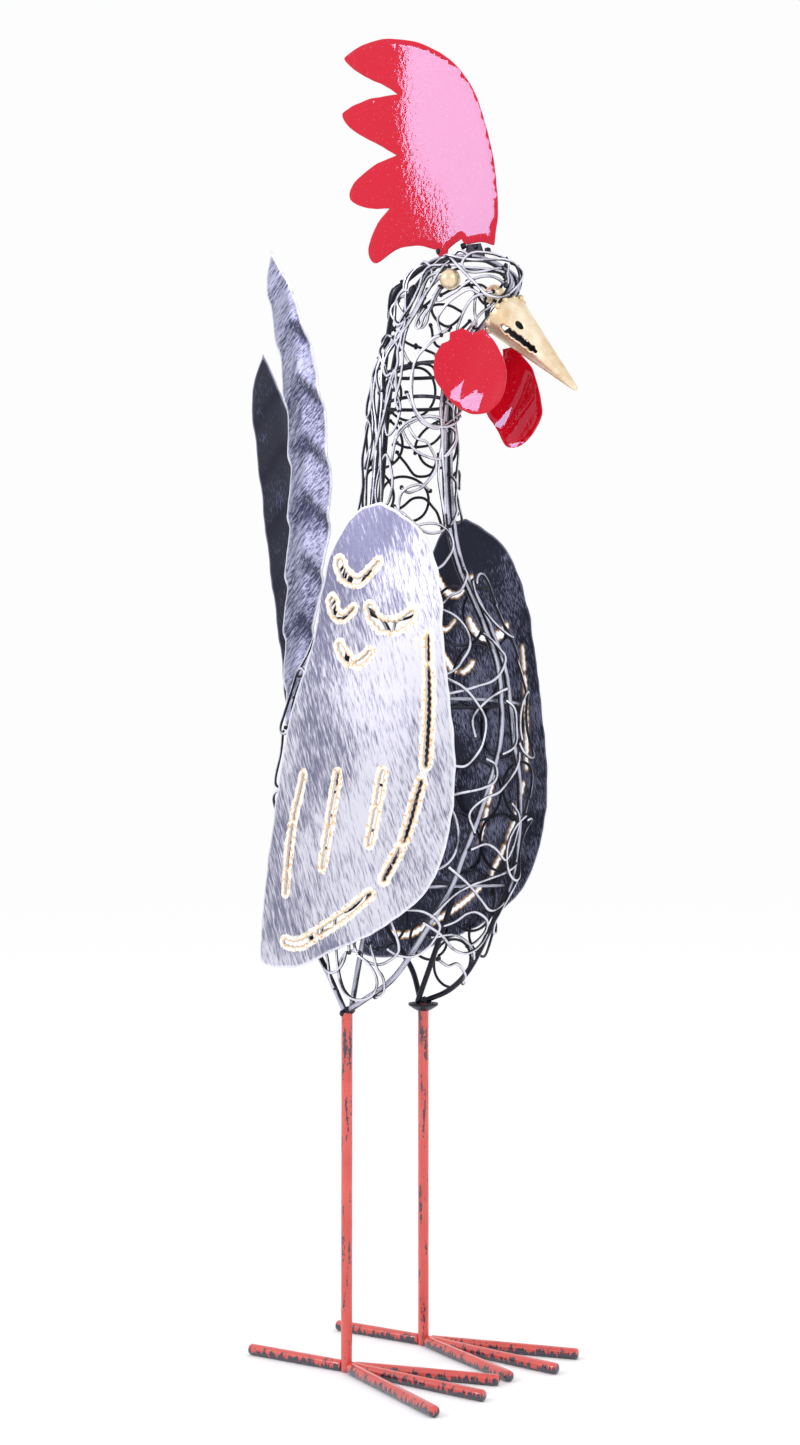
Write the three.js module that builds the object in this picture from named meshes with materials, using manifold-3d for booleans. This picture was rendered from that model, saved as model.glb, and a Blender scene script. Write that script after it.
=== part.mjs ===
// A rooster sculpture welded from scrap sheet metal, rods and curled wire.
// Millimetres, +Z up. The bird faces -Y, its right side is -X, and it stands on its toes at z = 0.
// Each cut sheet, rod, toe and bundle of curls is a closed body of its own, clear of the next.

import * as THREE from 'three';
import { mergeVertices } from 'three/addons/utils/BufferGeometryUtils.js';
import Module from 'manifold-3d';

const wasm = await Module();
wasm.setup();

// ---------- Driving dimensions ----------

const GAP = 0.35; // left wherever two welded pieces meet
const LEG_SPREAD = 33; // each leg stands this far from the middle plane
const LEG_RADIUS = 3;
const LEG_TOP = 185;
const TOE_RADIUS = 2.9;
const ROD_RADIUS = 1.5; // the frame's rods
const HOOP_RADIUS = 1;
const CURL_RADIUS = 0.8; // the thin wire of the curls
const CURL_LIFT = 3.2; // curls lie this far outside the middle line of the rods
const CURL_LAYER = 0.9; // a curl that passes over its neighbours lies this much further out
const HOOP_DROP = -3.1; // hoops lie this far inside it
const SHEET = 1.2; // wings, feathers and wattles
const COMB_SHEET = 1.4;
const EYE_RADIUS = 5.4;
const BEAK_LENGTH = 62.6;
const BEAK_RADIUS = 12;
// The beak's slots, by how far their middles lie from its base and from its middle line.
const MOUTH = { length: 25, width: 2.6, along: 21, lower: 1.2, tilt: 0.12 };
const NOSTRIL = { length: 5, width: 2.8, along: 16, upper: 4.2 };

// Toe tips, as [x, y], for the right foot and the left one. The feet aren't quite alike.
const TOE_TIPS = {
  right: { middle: [-33, -87], outer: [-69, -84], inner: [-6, -77], back: [-38, 62] },
  left: { middle: [29, -89], outer: [60, -82], inner: [2.5, -78], back: [29, 57] },
};

// The wire body, from the thighs to the crown: height, front, back, half width, squareness.
const BODY = [
  [186, -22, 10, 37, 2.4],
  [205, -40, 22, 41, 2.6],
  [222, -51, 34, 42, 2.8],
  [250, -66, 46, 43, 3],
  [300, -77, 56, 44, 3],
  [345, -77.5, 50, 42, 2.8],
  [375, -71, 40, 38, 2.6],
  [400, -58, 27, 34, 2.4],
  [425, -46, 15, 29, 2.2],
  [450, -42, 8, 22, 2],
  [505, -42, 2, 20, 2],
  [527, -48, -1, 19, 2],
  [537, -61.5, -4, 18, 2],
  [546, -73, -5, 19, 2],
  [558, -82, -7, 20, 2],
  [570, -82, -12, 18, 2],
  [582, -70, -26, 12, 2],
];

// ---------- Paints ----------

const wirePaint = new THREE.MeshStandardMaterial({ color: 0x34343e, roughness: 0.45, metalness: 0.7 });
const brushedSheet = new THREE.MeshStandardMaterial({ color: 0x9a9aac, roughness: 0.4, metalness: 0.8 });
const darkSheet = new THREE.MeshStandardMaterial({ color: 0x24242e, roughness: 0.45, metalness: 0.6 });
const redEnamel = new THREE.MeshStandardMaterial({ color: 0xd81f35, roughness: 0.15, metalness: 0 });
const goldPaint = new THREE.MeshStandardMaterial({ color: 0xc9a86a, roughness: 0.35, metalness: 0.8 });
const legPaint = new THREE.MeshStandardMaterial({ color: 0xc8402f, roughness: 0.4, metalness: 0.2 });

// ---------- Making closed bodies ----------

function toSolid(geometry) {
  const bare = new THREE.BufferGeometry();
  bare.setAttribute('position', geometry.getAttribute('position'));
  bare.setIndex(geometry.index);
  const welded = mergeVertices(bare, 1e-4);
  const vertProperties = new Float32Array(welded.getAttribute('position').array);
  const triVerts = new Uint32Array(welded.index.array);
  return new wasm.Manifold(new wasm.Mesh({ numProp: 3, vertProperties, triVerts }));
}

function toGeometry(solid) {
  const mesh = solid.getMesh();
  const geometry = new THREE.BufferGeometry();
  geometry.setAttribute('position', new THREE.BufferAttribute(new Float32Array(mesh.vertProperties), 3));
  geometry.setIndex(new THREE.BufferAttribute(new Uint32Array(mesh.triVerts), 1));
  geometry.computeVertexNormals();
  return geometry;
}

// Welds solids into one body. Where two wires only graze, the crumb that this can leave is dropped.
function weld(solids) {
  const bodies = solids.reduce((whole, next) => whole.add(next)).decompose();
  return bodies.reduce((most, body) => (body.volume() > most.volume() ? body : most));
}

// Moves every vertex of a geometry by a function of its place.
function reshape(geometry, move) {
  const places = geometry.getAttribute('position');
  const point = new THREE.Vector3();
  for (let i = 0; i < places.count; i += 1) {
    point.fromBufferAttribute(places, i);
    const moved = move(point);
    places.setXYZ(i, moved.x, moved.y, moved.z);
  }
  return geometry;
}

function polygon(radius, sides) {
  const corners = [];
  for (let i = 0; i < sides; i += 1) {
    const turn = (2 * Math.PI * (i + 0.5)) / sides;
    corners.push(new THREE.Vector2(radius * Math.cos(turn), radius * Math.sin(turn)));
  }
  return new THREE.Shape(corners);
}

function tube(points, radius, sides, steps) {
  const extrudePath = new THREE.CatmullRomCurve3(points, false, 'centripetal');
  return new THREE.ExtrudeGeometry(polygon(radius, sides), { steps, extrudePath, bevelEnabled: false });
}

// Joins runs of [y, z] points into one outline: each run is a smooth curve, and runs meet in corners.
function outline(runs, perSpan) {
  const corners = [];
  for (const run of runs) {
    const curve = new THREE.SplineCurve(run.map(([y, z]) => new THREE.Vector2(y, z)));
    const count = (run.length - 1) * perSpan;
    corners.push(...curve.getPoints(count).slice(0, -1));
  }
  return new THREE.Shape(corners);
}

// A band of even width along a smooth line, as a closed outline.
function band(points, width, steps) {
  const line = new THREE.SplineCurve(points.map(([y, z]) => new THREE.Vector2(y, z)));
  const sides = [[], []];
  for (let i = 0; i <= steps; i += 1) {
    const at = line.getPoint(i / steps);
    const along = line.getTangent(i / steps);
    const across = new THREE.Vector2(-along.y, along.x).multiplyScalar(width / 2);
    sides[0].push(at.clone().add(across));
    sides[1].unshift(at.clone().sub(across));
  }
  return [...sides[0], ...sides[1]];
}

// Extrudes a shape drawn in (y, z) along X, from x = low to x = high.
const sideways = new THREE.Matrix4().makeBasis(
  new THREE.Vector3(0, 1, 0),
  new THREE.Vector3(0, 0, 1),
  new THREE.Vector3(1, 0, 0),
);

function cutAcross(shape, low, high) {
  const geometry = new THREE.ExtrudeGeometry(shape, { depth: high - low, bevelEnabled: false });
  return geometry.applyMatrix4(sideways).translate(low, 0, 0);
}

// A thin sheet over a box in (y, z), bent so that its middle lies at x = surface(y, z).
function bentSheet(surface, [lowY, highY], [lowZ, highZ], columns, rows) {
  const sheet = new THREE.BoxGeometry(SHEET, highY - lowY, highZ - lowZ, 1, columns, rows);
  sheet.translate(0, (lowY + highY) / 2, (lowZ + highZ) / 2);
  return reshape(sheet, (p) => new THREE.Vector3(p.x + surface(p.y, p.z), p.y, p.z));
}

const group = new THREE.Group();

function addPiece(name, geometry, material) {
  const mesh = new THREE.Mesh(geometry, material);
  mesh.name = name;
  group.add(mesh);
}

// ---------- The skin that rods, hoops and curls lie on ----------

// A smooth curve through one column of BODY at any height.
function bodyColumn(z, column) {
  let row = 0;
  while (row < BODY.length - 2 && z > BODY[row + 1][0]) row += 1;
  const slope = (i) => {
    const before = BODY[Math.max(i - 1, 0)];
    const after = BODY[Math.min(i + 1, BODY.length - 1)];
    return (after[column] - before[column]) / (after[0] - before[0]);
  };
  const [low, high] = [BODY[row], BODY[row + 1]];
  const span = high[0] - low[0];
  const t = Math.min(Math.max((z - low[0]) / span, 0), 1);
  const rise = t * t * (3 - 2 * t);
  const start = t * (1 - t) * (1 - t) * span * slope(row);
  const end = t * t * (t - 1) * span * slope(row + 1);
  return low[column] * (1 - rise) + high[column] * rise + start + end;
}

// Angle 0 is the front of the bird and a quarter turn is its right flank.
function onBody(angle, z) {
  const front = bodyColumn(z, 1);
  const back = bodyColumn(z, 2);
  const square = bodyColumn(z, 4);
  const acrossPart = Math.abs(Math.sin(angle)) / bodyColumn(z, 3);
  const alongPart = (2 * Math.abs(Math.cos(angle))) / (back - front);
  const reach = (acrossPart ** square + alongPart ** square) ** (-1 / square);
  const middle = (front + back) / 2;
  return new THREE.Vector3(-reach * Math.sin(angle), middle - reach * Math.cos(angle), z);
}

function offBody(angle, z, lift) {
  const step = 0.02;
  const around = onBody(angle + step, z).sub(onBody(angle - step, z));
  const upward = onBody(angle, z + 1).sub(onBody(angle, z - 1));
  const outward = upward.cross(around).normalize();
  return onBody(angle, z).addScaledVector(outward, lift);
}

// A round curl of wire laid on the skin, or on top of other curls.
function curl([degrees, z, radius, over = 0]) {
  const angle = THREE.MathUtils.degToRad(degrees);
  const reach = onBody(angle + 0.05, z).distanceTo(onBody(angle - 0.05, z)) / 0.1;
  const lift = CURL_LIFT + over * CURL_LAYER;
  const ring = new THREE.TorusGeometry(radius, CURL_RADIUS, 3, radius > 9 ? 10 : 7);
  return reshape(ring, (p) => offBody(angle - p.x / reach, z + p.y, lift + p.z));
}

function hoop(z) {
  const ring = new THREE.TorusGeometry(10, HOOP_RADIUS, 3, 16);
  return reshape(ring, (p) => {
    const out = Math.hypot(p.x, p.y) - 10;
    return offBody(Math.atan2(-p.y, p.x), z + p.z, HOOP_DROP + out);
  });
}

// ---------- Legs and feet ----------

function leg(side) {
  const rod = new THREE.CylinderGeometry(LEG_RADIUS, LEG_RADIUS, LEG_TOP, 12);
  return rod.rotateX(Math.PI / 2).translate(side * LEG_SPREAD, 0, LEG_TOP / 2);
}

// A straight eight-sided toe on the floor, flat side down, from the leg's axis to its tip.
function toeRod(side, [x, y], grow) {
  const flat = TOE_RADIUS * Math.cos(Math.PI / 8);
  const radius = TOE_RADIUS + grow / Math.cos(Math.PI / 8);
  const length = Math.hypot(x - side * LEG_SPREAD, y) + grow;
  const rod = new THREE.CylinderGeometry(radius, radius, length, 8);
  rod.rotateY(Math.PI / 8).rotateZ(-Math.PI / 2).translate(length / 2, 0, 0);
  rod.rotateZ(Math.atan2(y, x - side * LEG_SPREAD));
  return rod.translate(side * LEG_SPREAD, 0, flat);
}

function addFoot(name, side) {
  const tips = TOE_TIPS[name];
  const socket = new THREE.CylinderGeometry(LEG_RADIUS + GAP, LEG_RADIUS + GAP, 20, 12);
  const legRoom = toSolid(socket.rotateX(Math.PI / 2).translate(side * LEG_SPREAD, 0, 5));
  const middleRoom = toSolid(toeRod(side, tips.middle, GAP));
  for (const [toe, tip] of Object.entries(tips)) {
    let solid = toSolid(toeRod(side, tip, 0)).subtract(legRoom);
    if (toe === 'outer' || toe === 'inner') solid = solid.subtract(middleRoom);
    addPiece(`toe_${name}_${toe}`, toGeometry(solid), legPaint);
  }
  addPiece(`leg_${name}`, leg(side), legPaint);
}

addFoot('right', -1);
addFoot('left', 1);

// A dished washer caps the left leg, under the frame's rods.
const DISH_RADIUS = 8.2;
const dishProfile = [
  [LEG_RADIUS + GAP, LEG_TOP - 4.6],
  [DISH_RADIUS, LEG_TOP - 1.4],
  [DISH_RADIUS, LEG_TOP - 0.2],
  [LEG_RADIUS + GAP, LEG_TOP - 3],
];
const dishPoints = [...dishProfile, dishProfile[0]].map(([r, z]) => new THREE.Vector2(r, z));
const dish = new THREE.LatheGeometry(dishPoints, 12).rotateX(Math.PI / 2);
addPiece('leg_dish_left', dish.translate(LEG_SPREAD, 0, 0), wirePaint);

// ---------- Frame ----------

// Each side has one long rod. It starts on the leg, bows forward and up the breast, climbs the neck,
// rounds the head and comes down the back to the leg again. Angle and height, in order.
const ROD_ROUTE = [
  [79, 192], [58, 203], [41, 221], [27, 250], [22.5, 266], [17, 284], [10.5, 307], [5, 326],
  [3.5, 344], [3, 366], [3.2, 393], [4, 420], [5.5, 450], [6.5, 490], [6.5, 522], [6.5, 540],
  [4.5, 554], [4.5, 564],
];
const ROD_RETURN = [
  [170, 567], [171, 552], [171, 530], [171, 505], [172, 470], [172, 445], [169, 420], [167, 398],
  [165, 372], [163, 345], [160, 310], [155, 275], [147, 245], [134, 222], [118, 203],
];

function frameRod(side) {
  const place = ([degrees, z]) => onBody(THREE.MathUtils.degToRad(-side * degrees), z);
  const legEnd = (y) => new THREE.Vector3(side * LEG_SPREAD, y, LEG_TOP + ROD_RADIUS + GAP);
  const crown = [
    new THREE.Vector3(side * 3, -66, 576),
    new THREE.Vector3(side * 3, -48, 579.8),
    new THREE.Vector3(side * 3, -31, 579),
  ];
  const points = [legEnd(-2), ...ROD_ROUTE.map(place), ...crown, ...ROD_RETURN.map(place), legEnd(2)];
  return tube(points, ROD_RADIUS, 5, 54);
}

// A short post leans from the leg's top to the lower hoop.
function post(side) {
  const foot = new THREE.Vector3(side * (LEG_SPREAD - 4.2), 0.5, LEG_TOP + 1);
  const top = new THREE.Vector3(side * 36.4, -20, 247.6);
  return tube([foot, foot.clone().lerp(top, 0.5), top], ROD_RADIUS, 5, 1);
}

for (const [name, side] of [['right', -1], ['left', 1]]) {
  addPiece(`frame_rod_${name}`, frameRod(side), wirePaint);
  addPiece(`post_${name}`, post(side), wirePaint);
}

const HOOPS = { torso_hoop_lower: 250, torso_hoop_upper: 346, neck_hoop_lower: 506, neck_hoop_upper: 523 };
for (const [name, z] of Object.entries(HOOPS)) {
  addPiece(name, hoop(z), wirePaint);
}

// ---------- Curls ----------

// Rows of curls up the skin. Odd rows sit half a step round and pass over the even ones.
function curlRows(rows, angles, oddAngles, radius) {
  const list = [];
  rows.forEach((z, row) => {
    for (const degrees of row % 2 ? oddAngles : angles) list.push([degrees, z, radius, row % 2]);
  });
  return list;
}

const breast = curlRows([240, 271, 302, 333, 364, 395], [-38, 0, 38], [-19, 19], 20);
const back = curlRows([252, 284, 316, 348, 380], [161, 199], [180], 20.5);
const neck = curlRows([459, 487, 515], [45, 135, 225, 315], [0, 90, 180, 270], 16.8);
const thigh = (side) => [[side * 82, 206, 14.5], [side * 104, 219, 13, 1]];
const head = [
  [53, 563, EYE_RADIUS + 1.6, 1.5], [28, 556, 11, 0.6], [88, 560, 14, 0.6], [127, 556, 14, 1.5],
  [-53, 563, EYE_RADIUS + 1.6, 1.5], [-28, 556, 11, 0.6], [-88, 560, 14, 0.6], [-127, 556, 14, 1.5],
  [180, 553, 15, 0.6],
];

const CURLS = {
  breast_curls: breast,
  back_curls: back,
  neck_curls: neck,
  thigh_curls_right: thigh(1),
  thigh_curls_left: thigh(-1),
};
for (const [name, list] of Object.entries(CURLS)) {
  addPiece(name, toGeometry(weld(list.map((entry) => toSolid(curl(entry))))), wirePaint);
}

// ---------- Eyes and beak ----------

function eyeBall(side, radius) {
  return new THREE.SphereGeometry(radius, 10, 8).translate(side * 20, -57.4, 563.2);
}

addPiece('eye_right', eyeBall(-1, EYE_RADIUS), goldPaint);
addPiece('eye_left', eyeBall(1, EYE_RADIUS), goldPaint);

// The beak is a cone of rolled sheet, open at the back, with a mouth slot and a nostril cut through.
const BEAK_BASE = new THREE.Vector3(0, -77.9, 545.3);
const BEAK_PITCH = THREE.MathUtils.degToRad(45.4); // how far it points below level

function placeBeak(geometry) {
  return geometry.rotateX(BEAK_PITCH + Math.PI).translate(BEAK_BASE.x, BEAK_BASE.y, BEAK_BASE.z);
}

function beakCone(profile) {
  return new THREE.LatheGeometry(profile.map(([r, along]) => new THREE.Vector2(r, along)), 14);
}

const beakWall = beakCone([
  [0, BEAK_LENGTH - 5], [5.4, 31], [BEAK_RADIUS - 1, 0], [BEAK_RADIUS, 0],
  [6.6, 31], [1.5, BEAK_LENGTH - 2], [0, BEAK_LENGTH],
]);
const through = 4 * BEAK_RADIUS;
const mouth = new THREE.BoxGeometry(through, MOUTH.length, MOUTH.width);
mouth.rotateX(-MOUTH.tilt).translate(0, MOUTH.along, MOUTH.lower);
const nostril = new THREE.BoxGeometry(through, NOSTRIL.length, NOSTRIL.width);
nostril.translate(0, NOSTRIL.along, -NOSTRIL.upper);
const beak = toSolid(placeBeak(beakWall)).subtract(toSolid(placeBeak(mouth)));
addPiece('beak', toGeometry(beak.subtract(toSolid(placeBeak(nostril)))), goldPaint);

// The head's curls stay clear of the eyes and of the back of the beak.
const beakRoom = beakCone([[0, -GAP], [BEAK_RADIUS + 1, -GAP], [7, 31], [0, 40]]);
const headWire = weld(head.map((entry) => toSolid(curl(entry))));
const clearOfEyes = [-1, 1].reduce(
  (wire, side) => wire.subtract(toSolid(eyeBall(side, EYE_RADIUS + GAP))),
  headWire,
);
addPiece('head_curls', toGeometry(clearOfEyes.subtract(toSolid(placeBeak(beakRoom)))), wirePaint);

// ---------- Comb ----------

const COMB_RUNS = [
  [[-71, 583.2], [-73.4, 603], [-68.7, 637], [-54.5, 673.3], [-30.3, 696.4], [-1.4, 707.9], [15.6, 708.5],
    [27.3, 705.2], [28.1, 702.2], [17.8, 693], [-1.3, 681.2], [-8, 676]],
  [[-8, 676], [12.4, 677.4], [26.4, 675.2], [30.2, 671.8], [22, 662], [1.8, 649.1], [-7.2, 642.8]],
  [[-7.2, 642.8], [7.1, 640.4], [22, 633.1], [24.9, 624.6], [12.3, 617.6], [-3, 614.8]],
  [[-3, 614.8], [5.9, 607.4], [12.2, 594.5], [7, 586.5], [-6.6, 591.4], [-20, 591.6], [-34, 587]],
  [[-34, 587], [-35.8, 582.6]],
  [[-35.8, 582.6], [-40.4, 582.4]],
  [[-40.4, 582.4], [-41.4, 586]],
  [[-41.4, 586], [-50.3, 590.1]],
  [[-50.3, 590.1], [-53.5, 586.6], [-62.7, 586.2], [-71, 583.2]],
];
addPiece('comb', cutAcross(outline(COMB_RUNS, 2), -COMB_SHEET / 2, COMB_SHEET / 2), redEnamel);

// A small plate stands between the frame's two rods on the crown and carries the comb.
const platePoints = [[-52.5, 580.5], [-66, 576], [-62.5, 585.4], [-54, 586]];
const plateShape = new THREE.Shape(platePoints.map(([y, z]) => new THREE.Vector2(y, z)));
addPiece('comb_plate', cutAcross(plateShape, -SHEET / 2, SHEET / 2), wirePaint);

// ---------- Wattles ----------

// A wattle is a rounded leaf of sheet with a tab at its top. The right one is cupped outward and the left
// one bulges outward: middle is its centre's x, and flare is how far its rim lies beyond that.
const WATTLES = {
  right: {
    side: -1, y: -68, z: 512.5, middle: 15.5, flare: 2.6,
    runs: [
      [[16.8, 18.3], [21, 12.5], [22, 5.4], [20.5, -1.2], [12.7, -11.7], [0.1, -19.6], [-12.3, -20.3],
        [-20.9, -13.5], [-22.8, -1.2], [-17.2, 12.8], [-9.1, 22.2]],
      [[-9.1, 22.2], [-1.9, 21.1]],
      [[-1.9, 21.1], [3.9, 24.4]],
      [[3.9, 24.4], [11.2, 23.1]],
      [[11.2, 23.1], [11.7, 19.1]],
      [[11.7, 19.1], [16.8, 18.3]],
    ],
  },
  left: {
    side: 1, y: -71, z: 505, middle: 18.5, flare: -3.2,
    runs: [
      [[13, 20], [18, 9], [17.2, -3], [11.6, -12.4], [1.8, -24.8], [-8.8, -24.3], [-17.9, -13.3],
        [-18.4, -3.8], [-12.8, 13.8], [-7, 22]],
      [[-7, 22], [-7, 27]],
      [[-7, 27], [4, 26.5]],
      [[4, 26.5], [4.5, 23]],
      [[4.5, 23], [13, 20]],
    ],
  },
};

function wattle({ side, y, z, middle, flare, runs }) {
  const placed = runs.map((run) => run.map(([dy, dz]) => [y + dy, z + dz]));
  const surface = (py, pz) => side * (middle + (flare * ((py - y) ** 2 + (pz - z) ** 2)) / 500);
  const sheet = bentSheet(surface, [y - 30, y + 30], [z - 30, z + 30], 6, 6);
  const [low, high] = side < 0 ? [-30, -2] : [2, 30];
  return toSolid(sheet).intersect(toSolid(cutAcross(outline(placed, 2), low, high)));
}

addPiece('wattle_right', toGeometry(wattle(WATTLES.right)), redEnamel);
addPiece('wattle_left', toGeometry(wattle(WATTLES.left)), redEnamel);

// ---------- Wings ----------

// The wings bulge outward: widest at the middle and drawn in towards the neck and the breast.
function wingSurface(side) {
  return (y, z) => {
    const high = Math.max(z - 290, 0);
    const low = Math.max(290 - z, 0);
    return side * (50 - 0.00045 * high ** 2 - 0.0004 * low ** 2 - 0.0015 * (y + 5) ** 2);
  };
}

const WING_RUNS = [
  [[-26, 448], [-39, 441.5], [-51.5, 431], [-59, 420], [-65, 400], [-68.6, 375], [-72.5, 345],
    [-76, 315], [-75, 293], [-70, 270], [-60, 250], [-45, 237], [-27, 226.5], [-1, 217], [21, 208.5],
    [40, 207], [50, 209.5], [51, 220], [46, 253], [40, 279], [34, 311], [26, 342], [14, 373],
    [8, 405], [2.6, 425], [-5, 438.5], [-14.5, 446.5], [-26, 448]],
];

const WING_SLOTS = [
  [[-2, 420], [-7.5, 411], [-17, 408], [-29, 418]],
  [[1, 400.5], [-2, 391.5], [-8, 389.5], [-15, 395]],
  [[-23, 395], [-29, 386], [-38.5, 383], [-46.5, 385.5], [-51, 391]],
  [[-4.5, 376], [-11, 367.5], [-18.5, 365.5], [-27, 371.5]],
  [[-60, 378], [-61.5, 342], [-60.5, 309.5]],
  [[-58.5, 305], [-49, 277.5], [-35, 253.5]],
  [[-28.5, 248], [-12, 236.5], [9.5, 225], [21.5, 220], [33.5, 221]],
  [[16.5, 309], [24.5, 280], [30, 245.5]],
  [[-7.5, 309.5], [-2.5, 284.5], [2.5, 259.5]],
  [[-36.5, 310], [-32, 290], [-27, 270.5]],
];

function wing(side) {
  const shape = outline(WING_RUNS, 1);
  for (const slot of WING_SLOTS) {
    shape.holes.push(new THREE.Path(band(slot, 2, 2 * (slot.length - 2) + 1)));
  }
  const sheet = bentSheet(wingSurface(side), [-90, 60], [200, 455], 4, 6);
  const [low, high] = side < 0 ? [-60, -20] : [20, 60];
  return toSolid(sheet).intersect(toSolid(cutAcross(shape, low, high)));
}

addPiece('wing_right', toGeometry(wing(-1)), brushedSheet);
addPiece('wing_left', toGeometry(wing(1)), darkSheet);

// ---------- Tail ----------

const PLEAT = 33; // from one pressed chevron to the next
const PLEAT_DEPTH = 1.6;
const SHORT_FEATHER_ASIDE = 10; // the short feather stands to the left of the tall one

// A feather is a long blade, creased along its middle into chevrons that point up.
function feather(runs, midrib, x) {
  const rows = 22;
  const half = PLEAT / 2;
  const bottom = 270;
  const sheet = new THREE.BoxGeometry(SHEET, 72, rows * half, 1, 2, rows);
  reshape(sheet.translate(0, 0, (rows * half) / 2), (p) => {
    const z = bottom + p.z - 0.8 * Math.abs(p.y);
    const crest = Math.round(p.z / half) % 2 ? PLEAT_DEPTH : -PLEAT_DEPTH;
    return new THREE.Vector3(x + crest + p.x, midrib(z) + p.y, z);
  });
  return toSolid(sheet).intersect(toSolid(cutAcross(outline(runs, 2), x - 10, x + 10)));
}

const TALL = [
  [[85, 607], [88, 586], [79.5, 551.5], [71.5, 505], [70, 470], [72, 429], [73.5, 385], [71.5, 345],
    [69, 320], [66, 297]],
  [[66, 297], [60.6, 297]],
  [[60.6, 297], [60.7, 345], [56, 370], [48, 405], [41, 449], [41, 477], [48, 525], [65, 575], [85, 607]],
];
const SHORT = [
  [[98, 551], [106.5, 527], [101, 484], [93, 432], [85, 386], [79, 345], [73, 315], [69, 297]],
  [[69, 297], [60.6, 297]],
  [[60.6, 297], [61, 345], [62, 390], [65, 440], [72, 495], [86, 531], [98, 551]],
];
const tallMidrib = (z) => 57 + 0.0009 * (z - 460) ** 2;
const shortMidrib = (z) => 65 + 0.11 * (z - 345);
addPiece('tail_feather_tall', toGeometry(feather(TALL, tallMidrib, 0)), brushedSheet);
addPiece('tail_feather_short', toGeometry(feather(SHORT, shortMidrib, SHORT_FEATHER_ASIDE)), darkSheet);

// The origin is the middle of the footprint, on the floor.
const reachBox = new THREE.Box3().setFromObject(group);
const centre = reachBox.getCenter(new THREE.Vector3());
group.position.set(-centre.x, -centre.y, -reachBox.min.z);

export default group;
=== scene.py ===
# %% [markdown]
# # A rooster welded from scrap
#
# The real bird is sheet steel, rod and curled wire, cut by hand and welded. Two bent rods and a few
# hoops make its frame, loose curls of thin wire make its skin, and wings, feathers, comb and wattles
# are cut from sheet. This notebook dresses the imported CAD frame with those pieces, one kind at a time.
# Places are drawn in millimetres from the point midway between the legs, where the CAD drew them too.

# %% Load the frame and find the middle between the legs
import math
import bpy
import numpy as np
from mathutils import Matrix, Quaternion, Vector, noise
from mathutils.geometry import delaunay_2d_cdt


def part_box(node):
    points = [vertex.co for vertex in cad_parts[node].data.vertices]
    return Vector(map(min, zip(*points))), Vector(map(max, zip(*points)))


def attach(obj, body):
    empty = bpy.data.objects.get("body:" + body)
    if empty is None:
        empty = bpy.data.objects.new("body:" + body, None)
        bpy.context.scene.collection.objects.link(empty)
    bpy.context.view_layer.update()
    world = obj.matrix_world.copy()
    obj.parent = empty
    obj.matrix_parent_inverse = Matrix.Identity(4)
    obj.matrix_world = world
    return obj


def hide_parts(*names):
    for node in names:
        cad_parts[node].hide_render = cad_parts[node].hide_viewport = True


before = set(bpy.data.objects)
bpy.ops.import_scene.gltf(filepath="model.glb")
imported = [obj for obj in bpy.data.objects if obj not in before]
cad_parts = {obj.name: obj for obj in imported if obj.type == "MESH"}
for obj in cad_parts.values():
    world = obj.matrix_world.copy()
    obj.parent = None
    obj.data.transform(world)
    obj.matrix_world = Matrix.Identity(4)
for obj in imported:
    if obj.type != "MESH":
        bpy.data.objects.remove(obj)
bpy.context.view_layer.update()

MM = 0.001
LEG_SPREAD = 33.0
leg_boxes = [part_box("leg_right"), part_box("leg_left")]
between_legs = sum((low + high for low, high in leg_boxes), Vector()) / 4
SHIFT = np.array([between_legs.x, between_legs.y, 0.0])


def to_frame(points):
    """Millimetres from the middle of the legs to metres in the CAD's frame."""
    return np.asarray(points, float) * MM + SHIFT


# %% [markdown]
# ## The camera
#
# A studio camera stands low, to the bird's front right, a good metre away. It looks very slightly up,
# so the comb rises over it. A short telephoto lens keeps the legs from leaning.

# %% Place the camera
CAMERA_PLACE = (-860.4, -672.0, 292.0)
CAMERA_HEADING = math.radians(52.4)
CAMERA_PITCH = math.radians(2.34)
CAMERA_LENS = 50.8

camera = bpy.data.objects.new("camera", bpy.data.cameras.new("camera"))
camera.data.lens = CAMERA_LENS
camera.data.clip_start = 0.01
camera.location = to_frame(CAMERA_PLACE)
looking = Vector((
    math.sin(CAMERA_HEADING) * math.cos(CAMERA_PITCH),
    math.cos(CAMERA_HEADING) * math.cos(CAMERA_PITCH),
    math.sin(CAMERA_PITCH),
))
camera.rotation_euler = looking.to_track_quat("-Z", "Y").to_euler()
bpy.context.scene.collection.objects.link(camera)
bpy.context.scene.camera = camera
print("camera", tuple(round(v, 3) for v in camera.location))

# %% [markdown]
# ## Colours and nodes
#
# Paint charts give colours as hex codes in sRGB, and Cycles works in linear light, so one function
# turns the one into the other. Another adds a node with its settings and links in one line.


# %% Colour and node helpers
def linear(code):
    """An sRGB hex code as linear RGBA."""
    channels = [int(code[i:i + 2], 16) / 255 for i in (1, 3, 5)]
    return (*[c / 12.92 if c <= 0.04045 else ((c + 0.055) / 1.055) ** 2.4 for c in channels], 1.0)


def add(tree, kind, inputs=None, output=None, **settings):
    """Adds a shader node. An input given as a socket is linked, and any other value is set."""
    node = tree.nodes.new("ShaderNode" + kind)
    for name, value in settings.items():
        setattr(node, name, value)
    for name, value in (inputs or {}).items():
        if isinstance(value, bpy.types.NodeSocket):
            tree.links.new(value, node.inputs[name])
        else:
            node.inputs[name].default_value = value
    live = [socket for socket in node.outputs if socket.enabled]
    return node.outputs[output] if output else (live[0] if live else None)


def start_material(name):
    """An empty material and its node tree."""
    material = bpy.data.materials.new(name)
    material.use_nodes = True
    material.node_tree.nodes.clear()
    return material, material.node_tree


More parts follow.
